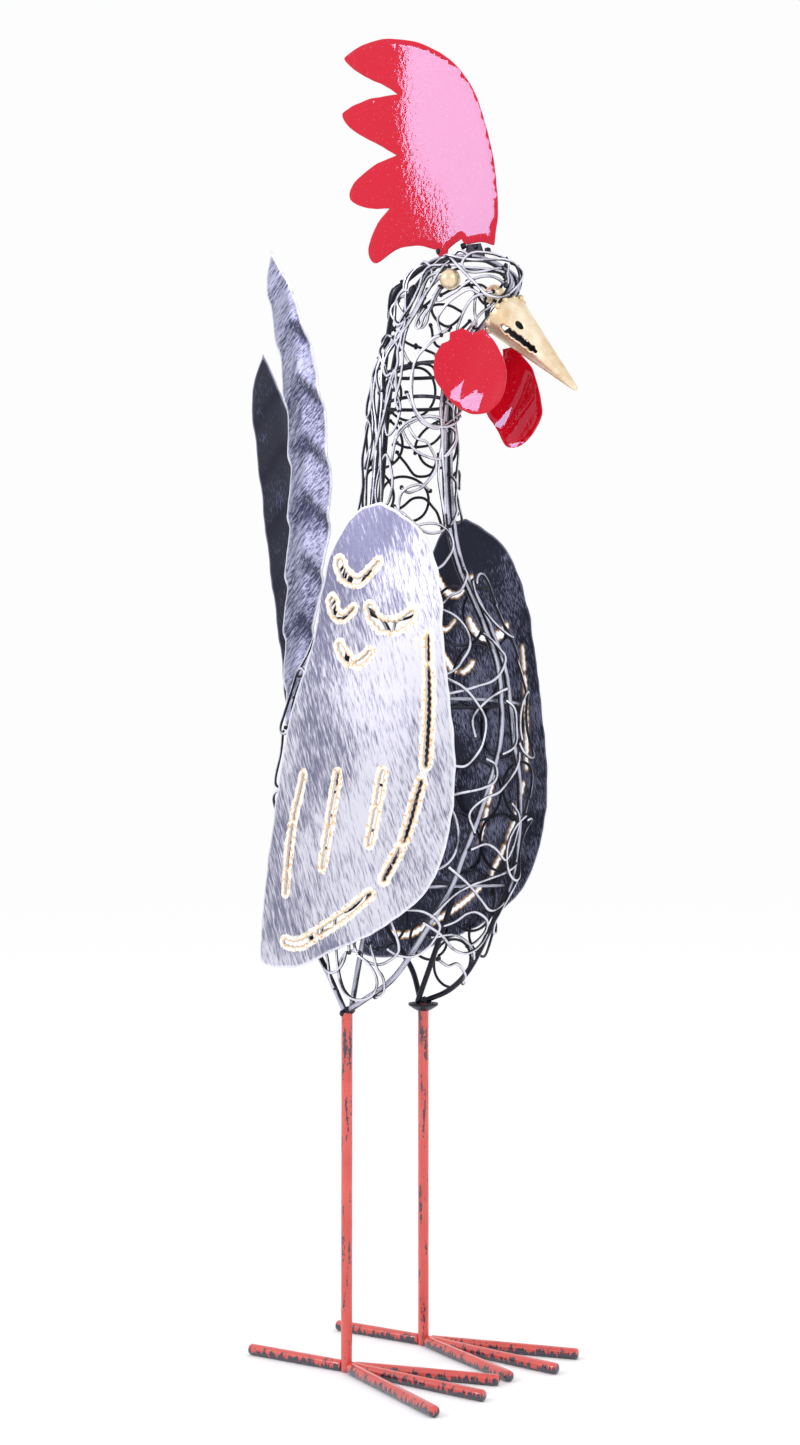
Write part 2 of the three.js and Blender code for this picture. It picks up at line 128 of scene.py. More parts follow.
def grain(tree, width, length=None, lean=0.0, detail=2.0):
    """Uneven marks of a width and a length in millimetres. Their long way leans forward from upright."""
    place = add(tree, "TexCoord", output="Object")
    size = (width * MM, width * MM, (length or width) * MM)
    settings = {"Vector": place, "Rotation": (-lean, 0, 0), "Scale": size}
    turned = add(tree, "Mapping", settings, vector_type="TEXTURE")
    return add(tree, "TexNoise", {"Vector": turned, "Scale": 1.0, "Detail": detail}, "Fac")


print("helpers ready")

# %% [markdown]
# ## Wire and rod
#
# Mild steel wire, lacquered black and then dry-brushed with silver paint: the brush only touches what
# faces outward, so each wire is bright on its outer side and black between. That blend is also painted
# shading: the colour runs smoothly from black at a wire's sides to bright silver along its outer line,
# so the wire reads as round under the even sky. The mesh carries how far a point faces outward, and noise
# breaks the edge of the silver as a dry brush does.


# %% Wire paint
def wire_paint(name, silver, reach, base="#0E1024"):
    """Silver dry brush on the outer side over blue black lacquer, blended as painted shading from black at
    the sides to a bright outer line, which reads as thin round metal.
    """
    material, tree = start_material(name)
    # Brush marks are about 11 mm long patches, and the paint's own speckle is half a millimetre.
    patches = grain(tree, 11)
    speckle = grain(tree, 0.55)
    # Painted shading as well as the dry brush: the outward number darkens each wire towards its sides and
    # brightens it along its outer line.
    outward = add(tree, "Attribute", output="Fac", attribute_name="outward")
    brushed = add(tree, "Math", {0: patches, 1: 1.5, 2: outward}, operation="MULTIPLY_ADD")
    brushed = add(tree, "Math", {0: speckle, 1: 0.7, 2: brushed}, operation="MULTIPLY_ADD")
    soft = {"Value": brushed, "From Min": reach + 1.1, "From Max": reach + 1.7}
    silver_and_painted_shading = add(tree, "MapRange", soft, interpolation_type="SMOOTHSTEP")
    colour = add(tree, "Mix", {"Factor": silver_and_painted_shading, "A": linear(base), "B": linear(silver)}, data_type="RGBA")
    raised = add(tree, "Bump", {"Height": speckle, "Distance": 0.00008})
    surface = add(tree, "BsdfPrincipled", {
        "Base Color": colour,
        "Metallic": add(tree, "MapRange", {"Value": silver_and_painted_shading, "To Min": 0.35, "To Max": 0.9}),
        "Roughness": add(tree, "MapRange", {"Value": speckle, "To Min": 0.2, "To Max": 0.6}),
        "Normal": raised,
    })
    add(tree, "OutputMaterial", {"Surface": surface})
    return material


WIRE = wire_paint("steel wire black lacquer dry brushed silver", "#E0E0EC", 0.32)
ROD = wire_paint("steel rod black lacquer dry brushed silver", "#BCBDCE", 0.25)
BLACK_ROD = wire_paint("steel rod black lacquer hardly brushed", "#8A8C9C", 0.8)
print(WIRE.name, "|", ROD.name, "|", BLACK_ROD.name)

# %% [markdown]
# ## The bird's skin
#
# Every rod, hoop and curl lies on one imagined skin. It is given by a few cross sections, each a
# rounded rectangle with a front, a back, a half width and a squareness, with smooth curves between
# them. Angles go round the bird from its front, over its right flank, to its back.

# %% The skin's sections, in millimetres
# height, front, back, half width, squareness
BODY = np.array([
    [186, -22, 10, 37, 2.4],
    [205, -40, 22, 41, 2.6],
    [222, -51, 34, 42, 2.8],
    [250, -66, 46, 43, 3],
    [300, -77, 56, 44, 3],
    [345, -77.5, 50, 42, 2.8],
    [375, -71, 40, 38, 2.6],
    [400, -58, 27, 34, 2.4],
    [425, -46, 15, 29, 2.2],
    [450, -42, 8, 22, 2],
    [505, -42, 2, 20, 2],
    [527, -48, -1, 19, 2],
    [537, -61.5, -4, 18, 2],
    [546, -73, -5, 19, 2],
    [558, -82, -7, 20, 2],
    [570, -82, -12, 18, 2],
    [582, -70, -26, 12, 2],
])


def section(z, column):
    """One measure of the skin at any height, on a smooth curve through the sections."""
    heights, values = BODY[:, 0], BODY[:, column]
    before = np.concatenate([[0], np.arange(len(BODY) - 1)])
    after = np.concatenate([np.arange(1, len(BODY)), [len(BODY) - 1]])
    slopes = (values[after] - values[before]) / (heights[after] - heights[before])
    row = np.clip(np.searchsorted(heights, z) - 1, 0, len(BODY) - 2)
    span = heights[row + 1] - heights[row]
    t = np.clip((z - heights[row]) / span, 0, 1)
    rise = t * t * (3 - 2 * t)
    bend = t * (1 - t) ** 2 * span * slopes[row] + t * t * (t - 1) * span * slopes[row + 1]
    return values[row] * (1 - rise) + values[row + 1] * rise + bend


def on_skin(angle, z):
    """Points on the skin, from angles in radians and heights."""
    front, back = section(z, 1), section(z, 2)
    square = section(z, 4)
    across = np.abs(np.sin(angle)) / section(z, 3)
    along = 2 * np.abs(np.cos(angle)) / (back - front)
    reach = (across ** square + along ** square) ** (-1 / square)
    return np.stack([-reach * np.sin(angle), (front + back) / 2 - reach * np.cos(angle), z], -1)


def off_skin(degrees, z, lift):
    """Points a little off the skin, and the direction that faces outward there."""
    angle, z = np.radians(np.asarray(degrees, float)), np.asarray(z, float)
    step = 0.02
    around = on_skin(angle + step, z) - on_skin(angle - step, z)
    upward = on_skin(angle, z + 1) - on_skin(angle, z - 1)
    outward = np.cross(upward, around)
    outward /= np.linalg.norm(outward, axis=-1, keepdims=True)
    return on_skin(angle, z) + outward * np.asarray(lift, float)[..., None], outward


for part, angle in (("breast", 0), ("flank", 90), ("back", 180)):
    print(part, "at 300 mm up:", off_skin([angle], [300], [0])[0][0].round(1))

# %% [markdown]
# ## Bending wire
#
# A bent wire is a smooth line with a round section. Blender's curve objects do this too, but here each
# wire also needs to know which way is outward, for its paint, so the tubes are built point by point.
# Many wires go into one mesh, as they are welded into one bundle on the bird.


# %% Smooth lines and tubes
def smooth(points, closed=False, step=1.5):
    """A smooth line through points of any dimension, cut about every step."""
    p = np.asarray(points, float)
    if closed:
        p = np.concatenate([p[-1:], p, p[:2]])
    else:
        p = np.concatenate([2 * p[:1] - p[1:2], p, 2 * p[-1:] - p[-2:-1]])
    line = []
    for a, b, c, d in zip(p, p[1:], p[2:], p[3:]):
        count = max(2, int(np.ceil(np.linalg.norm(c - b) / step)))
        t = np.linspace(0, 1, count, endpoint=False)[:, None]
        line.append(0.5 * (2 * b + (c - a) * t + (2 * a - 5 * b + 4 * c - d) * t * t
                           + (3 * b - a - 3 * c + d) * t ** 3))
    if not closed:
        line.append(p[-2][None])
    return np.concatenate(line)


class Wirework:
    """Wires, rods and welds gathered into one mesh."""

    def __init__(self):
        self.points, self.faces, self.outward, self.count = [], [], [], 0

    def take(self, points, faces, outward):
        self.points.append(points)
        self.outward.append(outward)
        self.faces.extend([tuple(i + self.count for i in face) for face in faces])
        self.count += len(points)

    def tube(self, line, outward, radius, closed=False, sides=8):
        """A round wire along a line. Its ends are rounded off."""
        line = np.asarray(line, float)
        radii = np.full(len(line), 1.0) * radius
        outward = np.broadcast_to(np.asarray(outward, float), line.shape)
        if not closed:
            start = (line[0] - line[1]) / np.linalg.norm(line[0] - line[1])
            end = (line[-1] - line[-2]) / np.linalg.norm(line[-1] - line[-2])
            round_off = [(1.0, 0.12), (0.86, 0.5), (0.5, 0.86)]
            head = [line[0] + start * radii[0] * out for out, _ in round_off]
            tail = [line[-1] + end * radii[-1] * out for out, _ in reversed(round_off)]
            line = np.concatenate([head, line, tail])
            outward = np.concatenate([outward[:1]] * 3 + [outward] + [outward[-1:]] * 3)
            radii = np.concatenate([
                [radii[0] * part for _, part in round_off], radii,
                [radii[-1] * part for _, part in reversed(round_off)]])
        if closed:
            along = np.roll(line, -1, 0) - np.roll(line, 1, 0)
        else:
            along = np.gradient(line, axis=0)
        along /= np.linalg.norm(along, axis=1, keepdims=True)
        up = outward - along * np.sum(outward * along, 1, keepdims=True)
        up /= np.linalg.norm(up, axis=1, keepdims=True)
        aside = np.cross(along, up)
        turn = np.arange(sides) * 2 * math.pi / sides
        rings = (line[:, None] + radii[:, None, None] * (
            np.cos(turn)[None, :, None] * up[:, None] + np.sin(turn)[None, :, None] * aside[:, None]))
        n = len(line)
        rows = np.arange(n if closed else n - 1)
        i, j = np.meshgrid(rows, np.arange(sides), indexing="ij")
        i2, j2 = (i + 1) % n, (j + 1) % sides
        quads = np.stack([i * sides + j, i * sides + j2, i2 * sides + j2, i2 * sides + j], -1)
        faces = quads.reshape(-1, 4).tolist()
        if not closed:
            faces.append(list(range(sides))[::-1])
            faces.append([(n - 1) * sides + k for k in range(sides)])
        self.take(rings.reshape(-1, 3), faces, np.tile(np.cos(turn), n))

    def bead(self, centre, radius, seed, flat=1.0):
        """A lump of weld."""
        def lumpy(way):
            return radius * (1 + 0.35 * noise.noise(way * 1.7 + Vector((seed * 7.1, 0, 0))))

        points, faces = ball(centre, lumpy, 7, 10, flat)
        self.take(points, faces, np.full(len(points), 0.2))


def ball(centre, radius_at, rows, columns, flat=1.0):
    """A round body from pole to pole. radius_at gives its radius in a direction."""
    points, faces = [], []
    for i in range(rows + 1):
        for j in range(columns if 0 < i < rows else 1):
            up, turn = math.pi * i / rows, 2 * math.pi * j / columns
            way = Vector((math.sin(up) * math.cos(turn), math.sin(up) * math.sin(turn), math.cos(up)))
            points.append(np.array(centre) + np.array(way) * radius_at(way) * (1, 1, flat))

    def at(i, j):
        if i == 0:
            return 0
        return len(points) - 1 if i == rows else 1 + (i - 1) * columns + j % columns

    for i in range(rows):
        for j in range(columns):
            corners = [at(i, j), at(i + 1, j), at(i + 1, j + 1), at(i, j + 1)]
            faces.append(list(dict.fromkeys(corners)))
    return np.array(points), faces


def make_piece(name, points, faces, materials, nodes=(), numbers=None, which=None, crease=40):
    """A mesh piece that rides on the body and stands for CAD nodes."""
    mesh = bpy.data.meshes.new(name)
    mesh.from_pydata(to_frame(points).tolist(), [], faces)
    mesh.validate()
    mesh.shade_smooth()
    mesh.set_sharp_from_angle(angle=math.radians(crease))
    for material in materials:
        mesh.materials.append(material)
    if which is not None:
        mesh.polygons.foreach_set("material_index", which)
    for label, values in (numbers or {}).items():
        kept = mesh.attributes.new(label, "FLOAT", "POINT")
        kept.data.foreach_set("value", np.asarray(values, np.float32))
    piece = bpy.data.objects.new(name, mesh)
    bpy.context.scene.collection.objects.link(piece)
    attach(piece, "root")
    if nodes:
        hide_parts(*nodes)
    return piece


def make_wirework(name, work, material, nodes=()):
    numbers = {"outward": np.concatenate(work.outward)}
    piece = make_piece(name, np.concatenate(work.points), work.faces, [material], nodes, numbers)
    print(name, len(piece.data.polygons), "faces")
    return piece


# %% [markdown]
# ## Legs and feet
#
# Each leg is a steel rod about 6 mm thick and each foot four lengths of the same rod, welded round the
# leg's end. They are painted over with orange red gloss, and the paint has worn back to a blackened steel
# in streaks. Two noises of long and short marks give the streaks and their ragged edges, and a clear
# coat over both gives the gloss.

# %% Leg paint
# Gloss red gives the legs a pale highlight, and the bare streaks stay dark.
material, tree = start_material("steel rod orange red paint worn to black")
streaks = grain(tree, 2.2, 16.0, detail=4.0)
chips = grain(tree, 1.1, 2.0, detail=3.0)
bare = add(tree, "Attribute", output="Fac", attribute_name="bare")
kept = add(tree, "Math", {0: chips, 1: 0.5, 2: streaks}, operation="MULTIPLY_ADD")
kept = add(tree, "Math", {0: kept, 1: bare}, operation="SUBTRACT")
painted = add(tree, "MapRange", {"Value": kept, "From Min": 0.46, "From Max": 0.53},
              interpolation_type="SMOOTHSTEP")
tone = grain(tree, 14)
reds = add(tree, "Mix", {"Factor": tone, "A": linear("#C02C26"), "B": linear("#E6584C")}, data_type="RGBA")
colour = add(tree, "Mix", {"Factor": painted, "A": linear("#2A2638"), "B": reds}, data_type="RGBA")
surface = add(tree, "BsdfPrincipled", {
    "Base Color": colour,
    "Roughness": add(tree, "MapRange", {"Value": chips, "To Min": 0.2, "To Max": 0.5}),
    "Coat Weight": 1.0,
    "Coat Roughness": 0.1,
    "Normal": add(tree, "Bump", {"Height": painted, "Distance": 0.00012}),
})
add(tree, "OutputMaterial", {"Surface": surface})
LEG_PAINT = material
print(LEG_PAINT.name)


# %% [markdown]
# ## Rods for legs and toes
#
# Sawn rod with its ends worn round by the grinder. A cylinder would do for the form, but rings of points
# moved a little by noise give the uneven, filed look, and each point can carry how much paint is lost:
# a little up the leg, and most on the underside of the toes.

# %% Legs and toes
LEG_RADIUS = 3.0
LEG_TOP = 185.0
LEG_FOOT = 0.2
TOE_RADIUS = 2.9
TOE_TIPS = {
    "right": {"middle": (-33, -87), "outer": (-69, -84), "inner": (-6, -77), "back": (-38, 62)},
    "left": {"middle": (29, -89), "outer": (60, -82), "inner": (2.5, -78), "back": (29, 57)},
}


def straight_rod(start, end, radius, seed, bare, sides=14, wobble=0.05, step=3.0):
    """A rod with worn round ends and a hand-filed waviness. bare gives the paint lost at a point."""
    start, end = np.asarray(start, float), np.asarray(end, float)
    length = np.linalg.norm(end - start)
    along = (end - start) / length
    aside = np.cross(along, (0, 0, 1) if abs(along[2]) < 0.9 else (0, 1, 0))
    aside /= np.linalg.norm(aside)
    up = np.cross(aside, along)
    rims, sizes = np.array([0, 0.25, 0.7, 1.4]), (0.66, 0.84, 0.95, 1.0)
    places = np.concatenate([rims, np.linspace(rims[-1], length - rims[-1], int(length / step))[1:-1],
                             length - rims[::-1]])
    scale = np.ones(len(places))
    scale[:len(sizes)], scale[-len(sizes):] = sizes, sizes[::-1]
    points, bares = [], []
    for at, size in zip(places, scale):
        for k in range(sides):
            turn = 2 * math.pi * (k + 0.5) / sides
            spot = Vector((math.cos(turn) * 2, math.sin(turn) * 2, at * 0.12 + seed * 9.7))
            r = radius * size * (1 - wobble * abs(noise.noise(spot)))
            points.append(start + along * at + r * (math.cos(turn) * aside + math.sin(turn) * up))
            bares.append(bare(at / length, points[-1]))
    faces = []
    n = len(places)
    for i in range(n - 1):
        for j in range(sides):
            j2 = (j + 1) % sides
            faces.append([i * sides + j, (i + 1) * sides + j, (i + 1) * sides + j2, i * sides + j2])
    faces.append(list(range(sides)))
    faces.append([(n - 1) * sides + k for k in range(sides)][::-1])
    return np.array(points), faces, bares


for number, (side_name, side) in enumerate((("right", -1), ("left", 1))):
    ankle = (side * LEG_SPREAD, 0)
    points, faces, bares = straight_rod((*ankle, LEG_FOOT), (*ankle, LEG_TOP), LEG_RADIUS, number,
                                        lambda t, point: 0.13 + 0.1 * t ** 6)
    make_piece(f"leg_rod_{side_name}", points, faces, [LEG_PAINT], [f"leg_{side_name}"],
               {"bare": bares})
    for order, (toe, tip) in enumerate(TOE_TIPS[side_name].items()):
        way = np.array(tip, float) - ankle
        way /= np.linalg.norm(way)
        # The middle and back toes bite into the weld at the ankle, and the others lie against it.
        start = LEG_RADIUS - 0.6 if toe in ("middle", "back") else LEG_RADIUS + 1.2
        root = np.array(ankle) + way * start
        points, faces, bares = straight_rod(
            (*root, TOE_RADIUS), (*tip, TOE_RADIUS), TOE_RADIUS, 10 * (number + 1) + order,
            lambda t, point: 0.28 - 0.22 * (point[2] - TOE_RADIUS) / TOE_RADIUS)
        make_piece(f"toe_rod_{side_name}_{toe}", points, faces, [LEG_PAINT],
                   [f"toe_{side_name}_{toe}"], {"bare": bares})
print("legs up to", LEG_TOP, "mm")

# %% [markdown]
# ## Frame
#
# One long rod on each side starts on the leg, bows up the breast and the neck, rounds the head and
# comes down the back to the leg again. A post leans inside it, and hoops tie the rods together.

# %% Rods, posts and hoops
ROD_RADIUS = 1.5
HOOP_RADIUS = 1.0
HOOP_DROP = -3.1
ROD_ROUTE = [
    (79, 192), (58, 203), (41, 221), (27, 250), (22.5, 266), (17, 284), (10.5, 307), (5, 326),
    (3.5, 344), (3, 366), (3.2, 393), (4, 420), (5.5, 450), (6.5, 490), (6.5, 522), (6.5, 540),
    (4.5, 554), (4.5, 564),
]
ROD_CROWN = [(3, -66, 576), (3, -48, 579.8), (3, -31, 579)]
ROD_RETURN = [
    (170, 567), (171, 552), (171, 530), (171, 505), (172, 470), (172, 445), (169, 420), (167, 398),
    (165, 372), (163, 345), (160, 310), (155, 275), (147, 245), (134, 222), (118, 203),
]
HOOPS = {
    "torso_hoop_lower": 250,
    "torso_hoop_upper": 346,
    "neck_hoop_lower": 506,
    "neck_hoop_upper": 523,
}


def away_from_middle(line):
    """Outward directions for a line that isn't drawn on the skin."""
    middle = np.stack([line[:, 0] * 0, (section(line[:, 2], 1) + section(line[:, 2], 2)) / 2,
                       line[:, 2] - 6], -1)
    away = line - middle
    return away / np.linalg.norm(away, axis=1, keepdims=True)


for side_name, side in (("right", 1), ("left", -1)):
    rise = [off_skin([side * d], [z], [0])[0][0] for d, z in ROD_ROUTE]
    fall = [off_skin([side * d], [z], [0])[0][0] for d, z in ROD_RETURN]
    crown = [np.array((-side * x, y, z)) for x, y, z in ROD_CROWN]
    foot = -side * LEG_SPREAD
    ends = [np.array((foot, -2, LEG_TOP + 1.2)), np.array((foot, 2, LEG_TOP + 1.2))]
    line = smooth([ends[0], *rise, *crown, *fall, ends[1]], step=2.0)
    work = Wirework()
    work.tube(line, away_from_middle(line), ROD_RADIUS, sides=10)
    make_wirework(f"long_rod_{side_name}", work, ROD, [f"frame_rod_{side_name}"])
    work = Wirework()
    line = smooth([(foot - math.copysign(4.2, foot), 0.5, LEG_TOP + 1), (foot, -9, LEG_TOP + 30),
                   (math.copysign(36.4, foot), -20, LEG_TOP + 62.6)])
    work.tube(line, away_from_middle(line), ROD_RADIUS, sides=10)
    make_wirework(f"leaning_post_{side_name}", work, ROD, [f"post_{side_name}"])

for name, z in HOOPS.items():
    degrees = np.arange(0, 360, 3.0)
    heights = float(z) + 0.6 * np.sin(np.radians(degrees * 2))
    line, outward = off_skin(degrees, heights, np.full(len(degrees), HOOP_DROP))
    work = Wirework()
    work.tube(line, outward, HOOP_RADIUS, closed=True)
    make_wirework(f"bent_{name}", work, BLACK_ROD if "neck" in name else ROD, [name])

# %% [markdown]
# ## Curls
#
# The skin itself is thin wire, rolled into loose loops and tacked to the rods and to each other. No two
# are alike. Those that show best are listed one by one, as angles and heights on the skin, and the rest
# are rings in rows with a little chance in their size and place. Each wire dips under its neighbours at
# its ends, where it is tacked down.

# %% Curls placed one by one
CURL_RADIUS = 0.78
# Each strand: the height of its middle off the skin, then its points. A ring ends where it starts.
HEAD_STRANDS = [
    (4.6, [(65, 575), (52, 570), (41, 565), (29, 559), (20, 555), (10, 555), (3, 560), (-2, 566),
           (3, 570)]),
    (3.4, [(8, 559), (9, 564), (8, 569)]),
    (3.6, [(79, 576), (53, 573), (42, 572), (24, 570), (9, 570), (0, 568), (-7, 558)]),
    (3.2, [(79, 576), (96, 569), (104, 560), (110, 555), (118, 549), (124, 544), (122, 538),
           (99, 531)]),
    (4.2, [(60, 569), (74, 570), (89, 570), (100, 567), (103, 562), (108, 556), (116, 550),
           (126, 545)]),
    (2.8, [(99, 568), (84, 570), (69, 570), (52, 569), (42, 568), (28, 567), (10, 565)]),
    (3.6, [(72, 560), (73, 555), (75, 550), (82, 546), (81, 541), (89, 542), (91, 546), (88, 551)]),
    (3.4, [(92, 570), (109, 573), (124, 573), (132, 570), (134, 564), (131, 559)]),
    (3.0, [(131, 559), (141, 558), (147, 555), (143, 550), (130, 544), (116, 540)]),
    (4.0, [(139, 557), (132, 553), (115, 546), (109, 540), (96, 533), (78, 528), (66, 523)]),
    (4.2, [(128, 538), (143, 540), (145, 535), (120, 527), (105, 520), (96, 517), (90, 519)]),
    (2.4, [(28, 554), (23, 547), (13, 540)]),
    (2.4, [(-155, 541), (-145, 539), (-134, 537), (-121, 535)]),
    (2.4, [(-145, 577), (-126, 578), (-108, 577), (-76, 575), (-47, 573), (-36, 570)]),
    (2.4, [(-144, 567), (-135, 569), (-122, 570), (-105, 570), (-84, 569), (-68, 566)]),
    (2.6, [(88, 563), (91, 569), (109, 573), (124, 572), (131, 566), (129, 559), (124, 551),
           (112, 545)]),
    (3.4, [(120, 560), (130, 561), (137, 559), (142, 554), (138, 548), (124, 544), (116, 548)]),
    (2.4, [(66, 571), (75, 567), (95, 565), (102, 559), (107, 550), (121, 543), (128, 531),
           (124, 518)]),
    (3.2, [(70, 566), (86, 560), (96, 552), (104, 545), (119, 538), (126, 526), (118, 510)]),
    (2.2, [(71, 560), (73, 554), (76, 548), (75, 544), (81, 541), (92, 546), (99, 556)]),
    (4.0, [(60, 572), (78, 564), (90, 556), (99, 546), (110, 537), (112, 524), (104, 510)]),
    (2.6, [(20, 553), (34, 557), (49, 553), (56, 548), (57, 544), (45, 538), (38, 540)]),
    (3.2, [(16, 556), (28, 554), (32, 549), (32, 544), (30, 540), (24, 536)]),
    (2.2, [(8, 560), (20, 563), (36, 561), (50, 556), (66, 553), (80, 556)]),
    (2.6, [(12, 552), (18, 546), (20, 540), (18, 532)]),
    (2.4, [(36, 575), (50, 577), (64, 575), (78, 574), (92, 575)]),
    (3.0, [(6, 572), (20, 575), (34, 574), (44, 570), (40, 566), (26, 565), (12, 567)]),
    (2.4, [(-150, 562), (-138, 562), (-123, 559), (-113, 556), (-127, 551), (-140, 553),
           (-149, 558), (-150, 562)]),
    (2.6, [(-30, 574), (-45, 568), (-62, 562), (-80, 560), (-96, 566), (-110, 572)]),
    (3.0, [(-8, 570), (-22, 560), (-40, 552), (-58, 550), (-74, 556), (-84, 566)]),
    (2.4, [(-20, 548), (-36, 544), (-54, 546), (-66, 554), (-60, 562), (-44, 562), (-28, 556),
           (-20, 548)]),
    (3.0, [(-96, 552), (-112, 546), (-126, 540), (-140, 544), (-148, 552)]),
    (2.6, [(150, 568), (166, 560), (180, 552), (192, 544), (206, 540)]),
    (3.4, [(210, 566), (196, 558), (182, 548), (170, 540), (158, 536)]),
]
NECK_STRANDS = [
    (4.2, [(43, 537), (51, 535), (58, 525), (60, 518), (59, 510), (55, 502), (48, 496), (36, 491), (24, 490),
           (8, 491), (-16, 498)]),
    (3.4, [(117, 548), (113, 540), (96, 532), (84, 524), (88, 516), (93, 504), (100, 488), (122, 471)]),
    (4.0, [(106, 546), (99, 536), (78, 527), (74, 517), (79, 505), (73, 498)]),
    (3.4, [(81, 481), (71, 488), (56, 493), (39, 495), (25, 495), (11, 493)]),
    (2.4, [(-152, 489), (-137, 487), (-123, 487), (-106, 488), (-87, 492), (-79, 493)]),
    (2.4, [(-144, 530), (-134, 531), (-121, 530), (-106, 527)]),
    (3.4, [(38, 539), (45, 537), (53, 531), (59, 523), (59, 516), (58, 508), (54, 500), (48, 495),
           (36, 490), (22, 491)]),
    (3.0, [(124, 544), (130, 539), (129, 534), (118, 528), (103, 519), (92, 516), (86, 510)]),
    (2.4, [(84, 472), (77, 481), (74, 485), (64, 490), (51, 493), (35, 495), (23, 494), (14, 493),
           (2, 488)]),
    (3.2, [(66, 508), (57, 502), (47, 494), (40, 491), (27, 489), (13, 491), (-3, 496), (-20, 502),
           (-32, 510)]),
    (2.6, [(62, 492), (50, 484), (36, 482), (29, 478), (24, 473), (24, 468), (30, 463), (39, 458),
           (48, 456), (57, 455), (66, 458)]),
    (3.2, [(72, 492), (65, 486), (59, 482), (49, 477), (37, 474), (21, 473), (7, 476), (-2, 480),
           (-6, 485), (1, 490), (16, 492)]),
    (3.8, [(14, 504), (4, 500), (-2, 492), (-1, 484), (6, 478), (14, 474)]),
    (2.6, [(-150, 484), (-139, 479), (-126, 472), (-114, 471), (-104, 472), (-97, 475), (-88, 482)]),
    (2.8, [(67, 436), (67, 445), (67, 451), (63, 455), (54, 458), (42, 459), (30, 456)]),
    (2.6, [(-148, 452), (-138, 455), (-127, 459), (-112, 459), (-100, 454), (-91, 450), (-84, 442)]),
    (3.2, [(74, 448), (67, 445), (60, 443), (49, 438), (36, 433), (24, 433), (12, 437)]),
    (3.6, [(2, 466), (-3, 460), (-4, 452), (0, 444), (6, 438)]),
    (2.4, [(96, 560), (108, 546), (116, 530), (112, 514), (104, 498), (100, 480), (98, 462),
           (96, 446)]),
    (3.2, [(104, 552), (114, 540), (124, 526), (122, 508), (112, 492), (108, 474), (106, 456),
           (110, 440)]),
    (2.6, [(112, 548), (120, 534), (116, 518), (106, 506), (104, 490), (112, 474), (118, 458),
           (116, 442)]),
    (3.6, [(126, 536), (132, 522), (130, 506), (120, 494), (118, 478), (126, 464), (128, 446)]),
    (4.2, [(134, 528), (142, 518), (144, 506), (136, 498), (128, 502), (126, 512), (132, 520)]),
    (4.4, [(136, 500), (146, 488), (150, 474), (144, 462), (134, 452), (132, 440)]),
    (2.4, [(14, 540), (12, 524), (9, 508), (13, 492), (16, 476), (12, 460), (9, 444)]),
    (3.0, [(22, 530), (18, 514), (20, 498), (17, 482), (20, 466), (17, 450), (14, 436)]),
    (2.6, [(-10, 528), (-13, 512), (-10, 496), (-14, 480), (-11, 462), (-14, 446)]),
    (3.0, [(86, 520), (80, 508), (72, 500), (76, 490), (88, 486), (96, 494), (94, 508), (86, 520)]),
    (2.4, [(92, 476), (82, 470), (78, 460), (84, 450), (96, 448), (104, 458), (102, 470), (92, 476)]),
]
BREAST_STRANDS = [
    (3.0, [(58, 432), (43, 437), (25, 438), (12, 433), (10, 426), (20, 418), (30, 413), (44, 410),
           (58, 414)]),
    (2.6, [(1, 415), (4, 410), (15, 402), (25, 398), (31, 394), (44, 388)]),
    (3.2, [(50, 398), (32, 391), (25, 387), (21, 380), (21, 372), (25, 365), (30, 359), (44, 354),
           (58, 360), (62, 376), (58, 390), (50, 398)]),
    (2.6, [(10, 380), (2, 372), (-3, 368), (1, 362), (11, 355), (19, 352), (25, 350), (40, 346)]),
    (3.4, [(44, 360), (30, 354), (25, 350), (21, 344), (17, 335), (18, 324), (21, 317), (25, 312),
           (30, 312), (42, 312), (54, 322), (56, 342), (44, 360)]),
    (2.8, [(46, 294), (32, 297), (25, 299), (18, 301), (11, 304), (9, 308), (11, 313), (16, 316)]),
    (3.4, [(40, 302), (32, 294), (29, 289), (27, 281), (27, 273), (29, 266), (34, 261), (46, 256),
           (58, 266), (58, 286), (40, 302)]),
    (2.6, [(-4, 294), (-10, 287), (-12, 280), (-11, 271), (-5, 265), (5, 271), (12, 273), (20, 270)]),
    (3.6, [(2, 346), (-2, 340), (-4, 330), (0, 322), (6, 318)]),
    (2.4, [(-2, 352), (6, 350), (16, 344), (22, 336), (20, 326)]),
    (2.6, [(-8, 320), (-2, 308), (6, 300), (16, 296), (22, 288), (18, 278)]),
    (3.0, [(-20, 262), (-8, 258), (6, 256), (18, 252), (28, 246), (36, 236)]),
    (2.6, [(30, 262), (20, 254), (8, 246), (-4, 240), (-16, 240), (-26, 246)]),
]
THIGH_STRANDS = [
    (2.6, [(84, 222), (79, 216), (71, 212), (63, 212), (54, 217), (52, 223), (58, 236), (66, 244)]),
    (3.2, [(60, 220), (53, 217), (44, 217), (35, 222), (30, 229), (31, 234), (40, 240), (52, 240)]),
    (2.6, [(34, 226), (23, 228), (8, 225), (-12, 218), (-26, 212)]),
    (3.2, [(40, 234), (28, 228), (17, 221), (0, 217), (-11, 219), (-22, 226)]),
    (2.8, [(28, 232), (18, 236), (14, 238), (7, 239), (-6, 235), (-15, 229), (-14, 225), (-4, 220)]),
    (2.6, [(24, 214), (12, 211), (-2, 211), (-21, 206), (-41, 200), (-56, 198)]),
    (3.0, [(70, 222), (67, 211), (64, 206), (64, 199), (70, 195)]),
    (2.6, [(96, 244), (100, 230), (98, 214), (96, 200), (88, 193)]),
    (3.0, [(106, 246), (110, 230), (108, 212), (104, 198)]),
]


